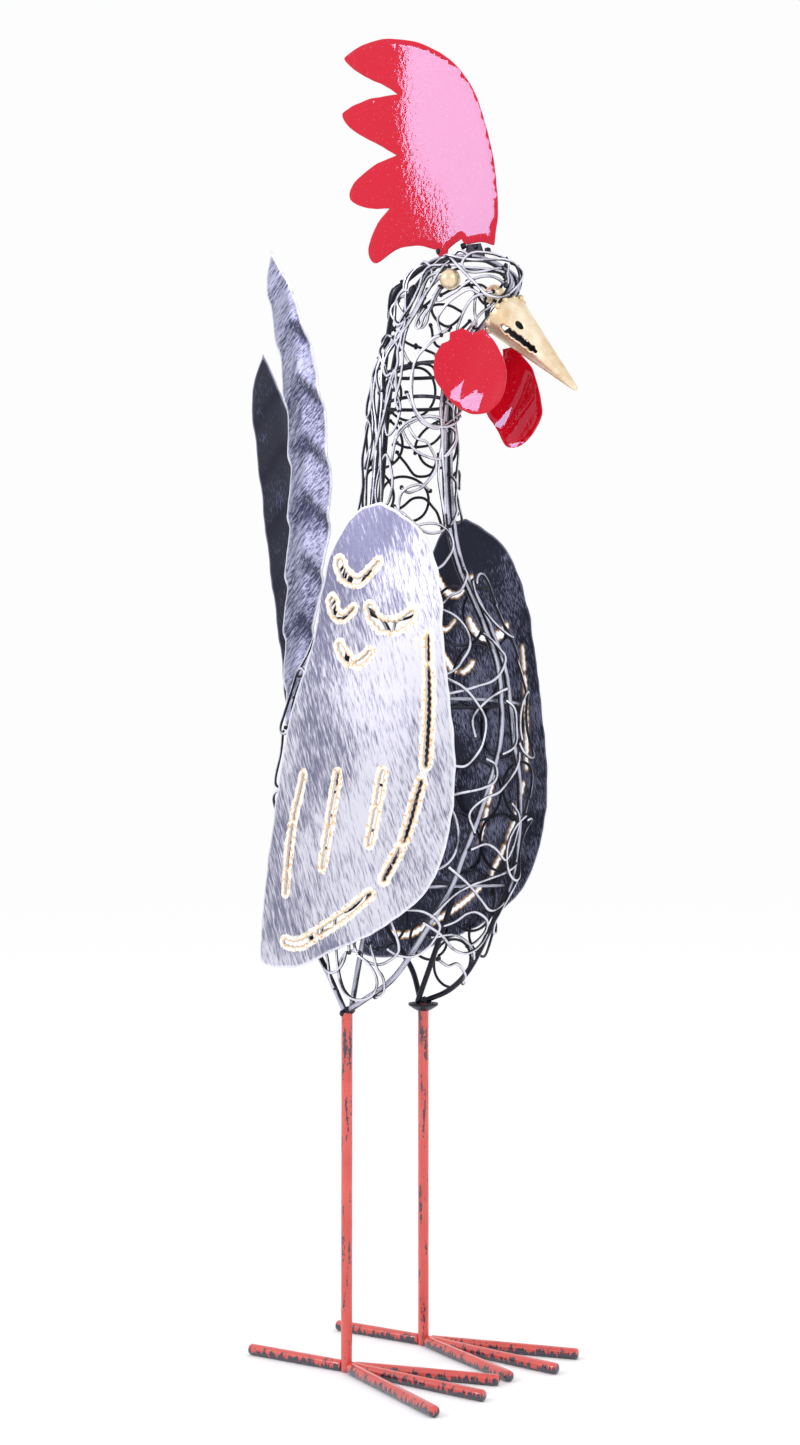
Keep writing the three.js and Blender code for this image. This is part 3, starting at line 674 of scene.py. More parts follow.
def bend_strand(work, lift, marks):
    """One strand from the lists. An open one dips at both ends, where it is tacked down."""
    closed = marks[0] == marks[-1]
    places = np.array(marks[:-1] if closed else marks, float)
    reach = np.linalg.norm(on_skin(np.radians(places[:, 0]), places[:, 1])[:, :2], axis=1).mean()
    scale = np.array([math.radians(reach), 1.0])
    fine = smooth(places * scale, closed, step=1.8) / scale
    t = np.linspace(0, 1, len(fine))
    wave = 0.7 * np.sin(t * 2 * math.pi * 2 + lift * 5)
    dip = 0 if closed else 1.6 * (np.clip(1 - t * 6, 0, 1) ** 2 + np.clip(t * 6 - 5, 0, 1) ** 2)
    line, outward = off_skin(fine[:, 0], fine[:, 1], lift + wave - dip)
    work.tube(line, outward, CURL_RADIUS, closed)
    if not closed:
        for end in (0, -1):
            work.bead(line[end], CURL_RADIUS * 1.5, lift * 3 + end + marks[0][1])


# %% [markdown]
# ## Rows of rings
#
# Between the listed strands, and all over the back, the skin is closed with simple rings. A loop
# places them in staggered rows. A generator with a fixed seed varies each one, so they come out the same
# every time the notebook runs.

# %% Curls in rows
CURL_LIFT = 3.2
chance = np.random.default_rng(7)


def curl_rings(work, rings):
    """Rings from [degrees, height, radius, layer], each a bit out of round and out of place."""
    for degrees, z, radius, layer in rings:
        degrees, z = degrees + chance.uniform(-3, 3), z + chance.uniform(-2, 2)
        wide, tall = radius * chance.uniform(0.86, 1.04), radius * chance.uniform(0.86, 1.04)
        tilt, start = chance.uniform(0, math.pi), chance.uniform(0, 2 * math.pi)
        spot = np.radians(degrees)
        level = np.array(float(z))
        width = np.linalg.norm(on_skin(spot + 0.05, level) - on_skin(spot - 0.05, level)) / 0.1
        t = np.linspace(0, 1, int(radius * 3.4))
        turn = start + t * 2 * math.pi
        x = wide * np.cos(turn) * math.cos(tilt) - tall * np.sin(turn) * math.sin(tilt)
        y = wide * np.cos(turn) * math.sin(tilt) + tall * np.sin(turn) * math.cos(tilt)
        shrink = 1 - 0.12 * t
        lift = CURL_LIFT - 0.9 + layer * 0.9 + 0.7 * np.sin(turn * 2 + start) + 0.9 * t
        line, outward = off_skin(degrees - np.degrees(x * shrink / width), z + y * shrink, lift)
        work.tube(line, outward, CURL_RADIUS)
        work.bead(line[0], CURL_RADIUS * 1.5, degrees + z)


def rows_of(heights, angles, odd_angles, radius):
    """Staggered rows of rings, for curl_rings."""
    return [(angle, z, radius, row % 2) for row, z in enumerate(heights)
            for angle in (odd_angles if row % 2 else angles)]


curls = {name: Wirework() for name in ("head", "neck", "breast", "back", "thigh_right", "thigh_left")}
for part, strands in (("head", HEAD_STRANDS), ("neck", NECK_STRANDS), ("breast", BREAST_STRANDS),
                      ("thigh_right", THIGH_STRANDS)):
    for lift, marks in strands:
        bend_strand(curls[part], lift, marks)

curl_rings(curls["breast"], rows_of(range(240, 396, 31), [-38, -70], [-19, -54, -86], 18))
curl_rings(curls["breast"], rows_of(range(262, 377, 38), [76], [94], 18))
curl_rings(curls["back"], rows_of(range(252, 413, 32), [161, 199], [180, 143, 217], 19))
curl_rings(curls["neck"], rows_of(range(459, 516, 28), [-45, -135, 180], [-90, -178, 150], 14.5))
THIGH_RINGS = [(82, 206, 13, 0), (104, 219, 12, 1), (140, 226, 14, 0)]
curl_rings(curls["thigh_right"], THIGH_RINGS)
mirrored = [(-angle, *rest) for angle, *rest in THIGH_RINGS]
curl_rings(curls["thigh_left"], [*mirrored[:2], (-60, 222, 14, 1), mirrored[2]])
for name, work in curls.items():
    node = name.replace("thigh_", "thigh_curls_") if "thigh" in name else name + "_curls"
    make_wirework("curled_wire_" + name, work, WIRE, [node])

# %% [markdown]
# ## Cutting sheet
#
# Wings, feathers, comb and wattles are cut from sheet 1.2 to 1.4 mm thick, and the beak is a rolled
# cone of it. Each is drawn flat, as an outline with slots, filled with triangles of even size, and then
# bent. The flat drawing keeps the cut edges true, and the even triangles let the sheet bend smoothly.


# %% Flat outlines and slots
def outline_of(runs, step=1.4):
    """Smooth runs of points that meet in corners, as one closed outline."""
    return np.concatenate([smooth(run, step=step)[:-1] for run in runs])


def ragged(line, depth, length, seed):
    """A closed line with the slight waves of a hand-held torch."""
    along = np.roll(line, -1, 0) - np.roll(line, 1, 0)
    across = np.stack([along[:, 1], -along[:, 0]], -1) / np.linalg.norm(along, axis=1, keepdims=True)
    waves = [noise.noise(Vector((x / length, y / length, seed))) for x, y in line]
    return line + across * np.array(waves)[:, None] * depth


def torch_slot(points, widths, lobe, seed, step=0.7):
    """A slot burnt along a line: its width follows widths, scalloped every lobe millimetres."""
    line = smooth(points, step=step)
    along = np.gradient(line, axis=0)
    across = np.stack([-along[:, 1], along[:, 0]], -1) / np.linalg.norm(along, axis=1, keepdims=True)
    gone = np.concatenate([[0], np.cumsum(np.linalg.norm(np.diff(line, axis=0), axis=1))])
    t = gone / gone[-1]
    half = np.interp(t, np.linspace(0, 1, len(widths)), widths) / 2
    ends = np.sqrt(np.clip(np.minimum(gone, gone[-1] - gone) / np.maximum(half, 0.4), 0.06, 1))
    sides = []
    for way in (1, -1):
        lobes = 0.72 + 0.42 * np.abs(np.cos(math.pi * gone / lobe + way * 0.6 + seed))
        rough = np.array([noise.noise(Vector((g / 2.2, seed * 3.3, way * 5.0))) for g in gone])
        sides.append(line + way * across * (half * ends * (lobes + 0.35 * rough))[:, None])
    return np.concatenate([sides[0], sides[1][::-1]])


def within(points, line):
    """Which points lie inside a closed line."""
    inside = np.zeros(len(points), bool)
    for (x1, y1), (x2, y2) in zip(line, np.roll(line, -1, 0)):
        crosses = (y1 > points[:, 1]) != (y2 > points[:, 1])
        if crosses.any():
            at = (x2 - x1) * (points[:, 1] - y1) / ((y2 - y1) or 1e-12) + x1
            inside ^= crosses & (points[:, 0] < at)
    return inside


def distance_to(points, line, closed=True):
    """How far points lie from a line of many short pieces."""
    ends = np.roll(line, -1, 0) if closed else line[1:]
    starts = line if closed else line[:-1]
    nearest = np.full(len(points), 1e9)
    for a, b in zip(starts, ends):
        ab = b - a
        t = np.clip(((points - a) @ ab) / max(ab @ ab, 1e-12), 0, 1)
        nearest = np.minimum(nearest, np.linalg.norm(points - a - t[:, None] * ab, axis=1))
    return nearest


# %% [markdown]
# ## Filling and thickening
#
# A flat outline with holes becomes a closed sheet in three steps. Even points and a triangulation that
# respects the edges fill it, a bending function puts each point in its place, and the sheet is made
# double with a rounded rim between. A solidify modifier would give the thickness too, but not the rim's
# rounding, the slag lip round the torch cuts, or the distances that the paints need.

# %% Fill a flat outline
def hole_way(line):
    """Directions along a hole's edge, always turning the same way."""
    along = np.roll(line, -1, 0) - np.roll(line, 1, 0)
    size = np.linalg.norm(along, axis=1, keepdims=True)
    turn = np.sign(np.sum(line[:, 0] * np.roll(line[:, 1], -1) - np.roll(line[:, 0], -1) * line[:, 1]))
    return along / np.maximum(size, 1e-9) * turn


def even_points(outline, holes, spacing, near):
    """Staggered points inside an outline and clear of its holes, with finer rings near the holes."""
    low, high = outline.min(0), outline.max(0)
    rows = np.arange(low[1], high[1], spacing * 0.87)
    grid = np.array([(x + (k % 2) * spacing / 2, y) for k, y in enumerate(rows)
                     for x in np.arange(low[0], high[0], spacing)])
    if near and holes:
        ways = [hole_way(hole) for hole in holes]
        rings = [hole + out * np.stack([way[:, 1], -way[:, 0]], -1)
                 for hole, way in zip(holes, ways) for out in (near, 2.2 * near)]
        grid = np.concatenate([grid, *rings])
    keep = within(grid, outline) & (distance_to(grid, outline) > spacing * 0.45)
    grid = grid[keep]
    from_hole = np.full(len(grid), 1e9)
    for hole in holes:
        from_hole = np.minimum(from_hole, np.where(within(grid, hole), 0, distance_to(grid, hole)))
    return grid[from_hole > (0.8 * near or spacing * 0.45)]


def fill(outline, holes, spacing, near):
    """Flat points and triangles that fill an outline and leave its holes open."""
    lines = [outline, *holes]
    edges, start = [], 0
    for line in lines:
        count = len(line)
        edges += [(start + k, start + (k + 1) % count) for k in range(count)]
        start += count
    flat = np.concatenate([*lines, even_points(outline, holes, spacing, near)])
    found = delaunay_2d_cdt([Vector(p) for p in flat], edges, [], 0, 1e-5)
    flat = np.array([tuple(point) for point in found[0]])
    triangles = np.array([face for face in found[2] if len(face) == 3])
    centres = flat[triangles].mean(1)
    good = within(centres, outline)
    for hole in holes:
        good &= ~within(centres, hole)
    triangles = triangles[good]
    a, b, c = (flat[triangles[:, k]] for k in range(3))
    area = (b[:, 0] - a[:, 0]) * (c[:, 1] - a[:, 1]) - (b[:, 1] - a[:, 1]) * (c[:, 0] - a[:, 0])
    triangles = triangles[np.abs(area) > 1e-6]
    flip = area[np.abs(area) > 1e-6] < 0
    triangles[flip] = triangles[flip][:, ::-1]
    used = np.unique(triangles)
    order = np.full(len(flat), -1)
    order[used] = np.arange(len(used))
    return flat[used], order[triangles]


print("sheets are filled with even triangles")


# %% Bend and thicken a sheet
RIM_THINNING = 0.62
RIM_BULGE = 0.16
SLAG_REACH = 1.3


def bent(place, flat):
    """Bent places and the sheet's normals there."""
    step = 0.05
    u, v = flat[:, 0], flat[:, 1]
    du = place(u + step, v) - place(u - step, v)
    dv = place(u, v + step) - place(u, v - step)
    normal = np.cross(du, dv)
    return place(u, v), normal / np.linalg.norm(normal, axis=1, keepdims=True)


def border_of(triangles):
    """The directed edges that only one triangle has."""
    directed = np.concatenate([triangles[:, [0, 1]], triangles[:, [1, 2]], triangles[:, [2, 0]]])
    found = np.unique(np.sort(directed, 1), axis=0, return_index=True, return_counts=True)
    return directed[found[1][found[2] == 1]]


def cut_sheet(outline, holes, place, thickness, spacing, near=0.0, slag=0.0):
    """A closed sheet mesh. place bends it, near adds finer points round holes, and slag is a lip there."""
    flat, triangles = fill(outline, holes, spacing, near)
    middle, normal = bent(place, flat)
    slot_gap = np.full(len(flat), 99.0)
    for hole in holes:
        slot_gap = np.minimum(slot_gap, distance_to(flat, hole))
    edge_gap = distance_to(flat, outline)
    border = border_of(triangles)
    rim = np.zeros(len(flat), bool)
    rim[border.ravel()] = True
    half = np.full(len(flat), thickness / 2)
    half[rim] *= RIM_THINNING
    lip = slag * np.exp(-(slot_gap / SLAG_REACH) ** 2)
    front, back = middle + normal * (half + lip)[:, None], middle - normal * (half + lip * 0.6)[:, None]
    outside = np.zeros_like(middle)
    for i, j in border:
        way = np.cross(middle[j] - middle[i], normal[i])
        way /= max(np.linalg.norm(way), 1e-9)
        outside[i] += way
        outside[j] += way
    size = np.linalg.norm(outside, axis=1)
    outside[size > 0] /= size[size > 0][:, None]
    n = len(flat)
    rims = np.flatnonzero(rim)
    bulge = np.full(n, -1)
    bulge[rims] = 2 * n + np.arange(len(rims))
    edge_points = middle[rims] + outside[rims] * thickness * RIM_BULGE
    faces = triangles.tolist() + (triangles[:, ::-1] + n).tolist()
    which = [0] * len(triangles) + [1] * len(triangles)
    for i, j in border:
        faces += [[j, i, bulge[i], bulge[j]], [bulge[j], bulge[i], i + n, j + n]]
        which += [2, 2]
    numbers = {
        "slot_gap": np.concatenate([slot_gap, slot_gap, slot_gap[rims]]),
        "edge_gap": np.concatenate([edge_gap, edge_gap, edge_gap[rims]]),
    }
    faces = [[int(k) for k in face] for face in faces]
    return np.concatenate([front, back, edge_points]), faces, which, numbers


def make_sheet(name, sheet, materials, nodes):
    """A sheet piece. Its materials are for the front, the back and the cut edge."""
    points, faces, which, numbers = sheet
    make_piece(name, points, faces, materials, nodes, numbers, which, crease=50)
    print(name, len(faces), "faces")


# %% [markdown]
# ## Wings
#
# Each wing is a hand-cut leaf of sheet steel with bent-out flanks. The outer face was scoured with a
# wire brush, which leaves fine steep scratches and cloudy light and dark patches, then lacquered. The
# inner face stayed blue black. Feathers are burnt through with a torch, and the torch's rims are
# painted pale gold.


# %% Brushed sheet
def brushed_sheet(name, light, dark, lean, level, hair, rims=True):
    """Scratches hair millimetres wide that lean by an angle, dark below a level, as scoured steel looks,
    darkened or lightened by the painted shading that the mesh carries.
    """
    material, tree = start_material(name)
    # The scratches are drawn coarser than real ones, which are a tenth as wide, so that they show.
    hairs = grain(tree, hair, hair * 12, lean)
    strokes = grain(tree, hair * 3, hair * 22, lean + 0.12)
    clouds = grain(tree, 38, detail=4.0)
    # Painted shading kept with the mesh: it darkens the sheet where shade falls, and below zero it lightens
    # it as a painted reflection.
    painted_shade = add(tree, "Attribute", output="Fac", attribute_name="dark_patch")
    shine = add(tree, "Math", {0: hairs, 1: 1.1, 2: strokes}, operation="MULTIPLY_ADD")
    shine = add(tree, "Math", {0: clouds, 1: 0.8, 2: shine}, operation="MULTIPLY_ADD")
    shine = add(tree, "Math", {0: shine, 1: painted_shade}, operation="SUBTRACT")
    bright = add(tree, "MapRange", {"Value": shine, "From Min": level, "From Max": level + 0.5},
                 interpolation_type="SMOOTHSTEP")
    colour = add(tree, "Mix", {"Factor": bright, "A": linear(dark), "B": linear(light)}, data_type="RGBA")
    metallic = 0.75
    if rims:
        drift = grain(tree, 3.3)
        slot_gap = add(tree, "Attribute", output="Fac", attribute_name="slot_gap")
        gap = add(tree, "Math", {0: drift, 1: 2.4, 2: slot_gap}, operation="MULTIPLY_ADD")
        gold = add(tree, "MapRange", {"Value": gap, "From Min": 4.2, "From Max": 3.5})
        spots = grain(tree, 1.8, detail=3.0)
        thin = add(tree, "MapRange", {"Value": spots, "From Min": 0.32, "From Max": 0.5})
        near = add(tree, "MapRange", {"Value": slot_gap, "From Min": 0.25, "From Max": 0.9})
        cream = add(tree, "Math", {0: thin, 1: near}, operation="MULTIPLY")
        golds = add(tree, "Mix", {"Factor": cream, "A": linear("#D9AE74"), "B": linear("#FFF9EC")},
                    data_type="RGBA")
        colour = add(tree, "Mix", {"Factor": gold, "A": colour, "B": golds}, data_type="RGBA")
        metallic = add(tree, "MapRange", {"Value": gold, "To Min": 0.75, "To Max": 0.2})
    edge_gap = add(tree, "Attribute", output="Fac", attribute_name="edge_gap")
    edge = add(tree, "MapRange", {"Value": edge_gap, "From Min": 1.5, "From Max": 0.4, "To Max": 0.75})
    colour = add(tree, "Mix", {"Factor": edge, "A": colour, "B": linear("#F2F2FA")}, data_type="RGBA")
    surface = add(tree, "BsdfPrincipled", {
        "Base Color": colour,
        "Metallic": metallic,
        "Roughness": add(tree, "MapRange", {"Value": hairs, "To Min": 0.25, "To Max": 0.6}),
        "Normal": add(tree, "Bump", {"Height": hairs, "Distance": 0.00006}),
    })
    add(tree, "OutputMaterial", {"Surface": surface})
    return material


WING_OUTER = brushed_sheet("sheet steel wire brushed and lacquered", "#D8D7E2", "#76768F",
                           lean=0.26, level=1.12, hair=0.45)
FEATHER_OUTER = brushed_sheet("feather sheet steel wire brushed", "#ACAEC6", "#3A3C58",
                              lean=-0.85, level=1.16, hair=0.35, rims=False)


def dark_sheet(name, base, scratch, level):
    """Blue black paint that is rubbed grey above a level, so it looks deep with a few bright scratches, and
    darker still where the mesh carries painted shading.
    """
    material, tree = start_material(name)
    scratches = grain(tree, 0.5, 3.5, 0.25, detail=3.0)
    clouds = grain(tree, 24, detail=4.0)
    # Painted shading kept with the mesh darkens the rubbed grey where shade falls.
    painted_shade = add(tree, "Attribute", output="Fac", attribute_name="dark_patch")
    shine = add(tree, "Math", {0: clouds, 1: 0.6, 2: scratches}, operation="MULTIPLY_ADD")
    shine = add(tree, "Math", {0: painted_shade, 1: -0.5, 2: shine}, operation="MULTIPLY_ADD")
    worn = add(tree, "MapRange", {"Value": shine, "From Min": level, "From Max": level + 0.2},
               interpolation_type="SMOOTHSTEP")
    colour = add(tree, "Mix", {"Factor": worn, "A": linear(base), "B": linear(scratch)}, data_type="RGBA")
    edge_gap = add(tree, "Attribute", output="Fac", attribute_name="edge_gap")
    edge = add(tree, "MapRange", {"Value": edge_gap, "From Min": 1.2, "From Max": 0.3, "To Max": 0.6})
    colour = add(tree, "Mix", {"Factor": edge, "A": colour, "B": linear("#9A9CB2")}, data_type="RGBA")
    slot_gap = add(tree, "Attribute", output="Fac", attribute_name="slot_gap")
    burnt = add(tree, "MapRange", {"Value": slot_gap, "From Min": 1.1, "From Max": 0.5})
    colour = add(tree, "Mix", {"Factor": burnt, "A": colour, "B": linear("#D0A468")}, data_type="RGBA")
    surface = add(tree, "BsdfPrincipled", {
        "Base Color": colour,
        "Metallic": 0.5,
        "Roughness": add(tree, "MapRange", {"Value": scratches, "To Min": 0.3, "To Max": 0.6}),
        "Normal": add(tree, "Bump", {"Height": scratches, "Distance": 0.00005}),
    })
    add(tree, "OutputMaterial", {"Surface": surface})
    return material


WING_INNER = dark_sheet("sheet steel blue black paint rubbed", "#1E2136", "#8C8FAE", 0.78)
FEATHER_DARK = dark_sheet("feather sheet steel blue black paint", "#131628", "#50536F", 0.9)

# A sheared or torch-cut edge is bare metal, so it draws a thin bright line round each leaf.
material, tree = start_material("cut steel edge bright")
speckle = grain(tree, 1.2)
greys = {"Factor": speckle, "A": linear("#C9C9D8"), "B": linear("#FFFFFF")}
colour = add(tree, "Mix", greys, data_type="RGBA")
surface = add(tree, "BsdfPrincipled", {"Base Color": colour, "Metallic": 0.6, "Roughness": 0.4})
add(tree, "OutputMaterial", {"Surface": surface})
CUT_EDGE = material
print(WING_OUTER.name, "|", WING_INNER.name, "|", CUT_EDGE.name)

# %% [markdown]
# ## The wing's drawing
#
# One leaf is drawn once, seen from the side, and used for both wings. Its slots are burnt along lines, so
# each is a line with a width that changes along it, and a hand-held torch scallops both edges. Where a
# slot is broken by a bridge of steel, its line is cut into two or three stretches.

# %% Wing outline and slots
SHEET = 1.2
WING_RUN = [
    (-26, 448), (-39, 441.5), (-51.5, 431), (-59, 420), (-65, 400), (-68.6, 375), (-72.5, 345),
    (-76, 315), (-75, 293), (-70, 270), (-60, 250), (-45, 237), (-27, 226.5), (-1, 217), (21, 208.5),
    (40, 207), (50, 209.5), (51, 220), (46, 253), (40, 279), (34, 311), (26, 342), (14, 373),
    (8, 405), (2.6, 425), (-5, 438.5), (-14.5, 446.5), (-26, 448),
]
# Each slot: its points, its widths from end to end, and how it is broken by bridges.
WING_SLOTS = [
    ([(-2, 420), (-7.5, 411), (-17, 408), (-29, 418)], (3.2, 3.4, 1.9, 1.6), [(0, 1)]),
    ([(1, 400.5), (-2, 391.5), (-8, 389.5), (-15, 395)], (3.2, 3.0, 1.4, 1.2), [(0, 1)]),
    ([(-23, 395), (-29, 386), (-38.5, 383), (-46.5, 385.5), (-51, 391)], (2.6, 3.6, 4.4, 4.2, 3.4),
     [(0, 1)]),
    ([(-4.5, 376), (-11, 367.5), (-18.5, 365.5), (-27, 371.5)], (2.6, 3.0, 2.4, 2.2),
     [(0, 0.52), (0.56, 1)]),
    ([(-60, 378), (-61.5, 342), (-60.5, 309.5)], (1.6, 2.4, 2.2), [(0, 0.2), (0.23, 1)]),
    ([(-58.5, 305), (-49, 277.5), (-35, 253.5)], (2.0, 2.2, 2.2), [(0, 0.62), (0.64, 1)]),
    ([(-28.5, 248), (-12, 236.5), (9.5, 225), (21.5, 220), (33.5, 221)], (1.8, 2.4, 2.2, 2.6, 2.4),
     [(0, 0.6), (0.62, 1)]),
    ([(16.5, 309), (24.5, 280), (30, 245.5)], (1.2, 1.6, 1.4), [(0, 0.4), (0.43, 0.8), (0.82, 1)]),
    ([(-7.5, 309.5), (-2.5, 284.5), (2.5, 259.5)], (1.8, 2.2, 1.6), [(0, 0.55), (0.57, 1)]),
    ([(-36.5, 310), (-32, 290), (-27, 270.5)], (2.2, 2.2, 1.8), [(0, 0.45), (0.48, 1)]),
]


def part_of(line, start, end):
    """The stretch of a line between two fractions of its points."""
    last = len(line) - 1
    return line[int(round(start * last)):int(round(end * last)) + 1]


wing_outline = ragged(outline_of([WING_RUN]), 0.9, 9.0, 3.0)
wing_holes = []
for number, (points, widths, parts) in enumerate(WING_SLOTS):
    fine = smooth(points, step=0.5)
    for start, end in parts:
        stretch = part_of(fine, start, end)[::4]
        some = np.interp(np.linspace(start, end, 5), np.linspace(0, 1, len(widths)), widths)
        wing_holes.append(torch_slot(stretch, some * 1.08, 3.4, number + start))
print(len(wing_holes), "openings burnt through each wing")


# %% [markdown]
# ## Bending the wings
#
# Each leaf is bent over the body, so it stands off in the middle and curves in to its edges, with slow
# dents where it was hammered. Shade and light are also painted into its colour: soft round spots,
# darkest near the top round the upper slots, where the leaf turns away from the light, and paler in
# the middle, where the rear softbox is mirrored. They are added up and kept with the mesh as one
# number a point.

# %% Bend the wings
def wing_place(side):
    def place(y, z):
        high, low = np.maximum(z - 290, 0), np.maximum(290 - z, 0)
        bow = 50 - 0.00045 * high ** 2 - 0.0004 * low ** 2 - 0.0015 * (y + 5) ** 2
        dents = 0.5 * np.sin(y / 17 + z / 31) + 0.35 * np.sin(z / 13 - y / 23 + 1)
        return np.stack([side * (bow + dents - 0.4), y, z], -1)
    return place


# Painted shade and painted highlight spots: how dark (below zero, how much paler), the middle's depth and
# height, half width and half height.
WING_PAINTED_SHADE_SPOTS = [
    (0.46, -8, 425, 22, 26), (0.3, -34, 442, 20, 14), (0.26, 6, 385, 12, 30), (0.1, 20, 300, 10, 50),
    (0.16, 34, 240, 14, 34), (0.12, -2, 300, 14, 34), (0.06, -64, 275, 9, 45), (0.12, 0, 220, 40, 9),
    (-0.14, -36, 345, 22, 62), (-0.1, -22, 262, 16, 24),
]

for side_name, side in (("right", -1), ("left", 1)):
    place = wing_place(side)
    points, faces, which, numbers = cut_sheet(wing_outline, wing_holes, place, SHEET, 2.2, 0.8, 0.35)
    # On the right wing the sheet's front face looks inward, so its two faces change paints.
    materials = [WING_INNER, WING_OUTER, CUT_EDGE] if side < 0 else [WING_OUTER, WING_INNER, CUT_EDGE]
    # Painted shade and painted highlight: the spots darken the upper wing and lighten its middle.
    painted_shade = sum(depth * np.exp(-((points[:, 1] - y) / wide) ** 2 - ((points[:, 2] - z) / tall) ** 2)
                for depth, y, z, wide, tall in WING_PAINTED_SHADE_SPOTS)
    numbers["dark_patch"] = painted_shade
    make_sheet(f"wing_leaf_{side_name}", (points, faces, which, numbers), materials,
               [f"wing_{side_name}"])

# %% [markdown]
# ## Tail feathers
#
# Two long blades stand on the body's back. Each has a raised midrib, and chevrons were pressed in over
# an edge with their points up the feather: the sheet drops sharply under each chevron and then swells
# slowly to the next.

# %% Feathers
PLEAT = 33.0
TALL_RUNS = [
    [(85, 607), (88, 586), (79.5, 551.5), (71.5, 505), (70, 470), (72, 429), (73.5, 385), (71.5, 345),
     (69, 320), (66, 297)],
    [(66, 297), (60.6, 297)],
    [(60.6, 297), (60.7, 345), (56, 370), (48, 405), (41, 449), (41, 477), (48, 525), (65, 575), (85, 607)],
]
SHORT_RUNS = [
    [(98, 551), (106.5, 527), (101, 484), (93, 432), (85, 386), (79, 345), (73, 315), (69, 297)],
    [(69, 297), (60.6, 297)],
    [(60.6, 297), (61, 345), (62, 390), (65, 440), (72, 495), (86, 531), (98, 551)],
]


def tall_midrib(z):
    return 57 + 0.0009 * (z - 460) ** 2


def short_midrib(z):
    return 65 + 0.11 * (z - 345)


def below_chevron(aside, z):
    """How far down from one chevron to the next a point is, from 0 to 1."""
    return np.mod((566 - (z + 0.95 * np.sqrt(aside ** 2 + 4.0))) / PLEAT, 1.0)


def feather_place(x, midrib, depth, fold):
    def place(y, z):
        aside = y - midrib(z)
        down = below_chevron(aside, z)
        drop = np.clip(down / 0.22, 0, 1)
        swell = np.clip((down - 0.22) / 0.78, 0, 1)
        height = 1 - drop * drop * (3 - 2 * drop) + swell * swell * (3 - 2 * swell)
        fade = np.clip((600 - z) / 30, 0, 1) * np.clip((z - 300) / 40, 0, 1)
        across = x - depth * height * fade + depth / 2 + fold * np.sqrt(aside ** 2 + 4.0)
        return np.stack([across, y, z], -1)
    return place


tall = cut_sheet(ragged(outline_of(TALL_RUNS), 0.5, 8.0, 1.0), [],
                 feather_place(0.5, tall_midrib, 2.6, 0.10), SHEET, 2.0)
short_outline = ragged(outline_of(SHORT_RUNS), 0.5, 8.0, 2.0)
short_outline[:, 0] = np.minimum(short_outline[:, 0], 106.2)
short = cut_sheet(short_outline, [],
                  feather_place(10.0, short_midrib, 1.0, 0.05), SHEET, 2.2)
for name, sheet, midrib, paint in (
        ("tall", tall, tall_midrib, FEATHER_OUTER), ("short", short, short_midrib, FEATHER_DARK)):
    # Painted shade: the colour is darkest just under each chevron, where the pressed step turns away from
    # the light, and more so on the front side of the midrib.
    y, z = sheet[0][:, 1], sheet[0][:, 2]
    aside = y - midrib(z)
    shade = np.exp(-((below_chevron(aside, z) - 0.16) / 0.2) ** 2) * np.where(aside < 2, 0.2, 0.08)
    sheet[3]["dark_patch"] = shade
    make_sheet(f"{name}_feather_blade", sheet, [paint, paint, CUT_EDGE],
               [f"tail_feather_{name}"])

# %% [markdown]
# ## Red enamel: comb and wattles
#
# Thick gloss enamel over sheet steel. It gives sharp reflections of the soft lights, with slight
# waves where the sheet is not flat, and a fine orange peel from the brush.

# %% Red enamel
material, tree = start_material("sheet steel red gloss enamel")
tone = grain(tree, 30)
reds = add(tree, "Mix", {"Factor": tone, "A": linear("#C90A1B"), "B": linear("#D20C24")}, data_type="RGBA")
dust = add(tree, "MapRange", {"Value": grain(tree, 0.8, detail=1.0), "From Min": 0.7, "From Max": 0.76,
                              "To Max": 0.3})
colour = add(tree, "Mix", {"Factor": dust, "A": reds, "B": linear("#F8B8C4")}, data_type="RGBA")
surface = add(tree, "BsdfPrincipled", {
    "Base Color": colour,
    "Roughness": 0.02,
    "Specular Tint": linear("#8CD4FF"),
    "Normal": add(tree, "Bump", {"Height": grain(tree, 2.4), "Distance": 0.00002}),
})
add(tree, "OutputMaterial", {"Surface": surface})
RED_ENAMEL = material
print(RED_ENAMEL.name)

# %% [markdown]
# ## Comb
#
# A flat leaf with four rounded lobes behind and a tab that is welded to the crown. It is cut like the
# other sheets and bent by a tenth of a millimetre, which only shows as a wave in its reflections.

# %% Comb
COMB_SHEET = 1.4
COMB_RUNS = [
    [(-71, 583.2), (-73.4, 603), (-68.7, 637), (-54.5, 673.3), (-30.3, 696.4), (-1.4, 707.9), (15.6, 708.5),
     (27.3, 705.2), (28.1, 702.2), (17.8, 693), (-1.3, 681.2), (-8, 676)],
    [(-8, 676), (12.4, 677.4), (26.4, 675.2), (30.2, 671.8), (22, 662), (1.8, 649.1), (-7.2, 642.8)],
    [(-7.2, 642.8), (7.1, 640.4), (22, 633.1), (24.9, 624.6), (12.3, 617.6), (-3, 614.8)],
    [(-3, 614.8), (5.9, 607.4), (12.2, 594.5), (7, 586.5), (-6.6, 591.4), (-20, 591.6), (-34, 587)],
    [(-34, 587), (-35.8, 582.6)],
    [(-35.8, 582.6), (-40.4, 582.4)],
    [(-40.4, 582.4), (-41.4, 586)],
    [(-41.4, 586), (-50.3, 590.1)],
    [(-50.3, 590.1), (-53.5, 586.6), (-62.7, 586.2), (-71, 583.2)],
]


def comb_place(y, z):
    wave = 0.10 * np.sin((z - 600) / 21 + y / 60) + 0.05 * np.sin(y / 13 + z / 37)
    return np.stack([wave, y, z], -1)


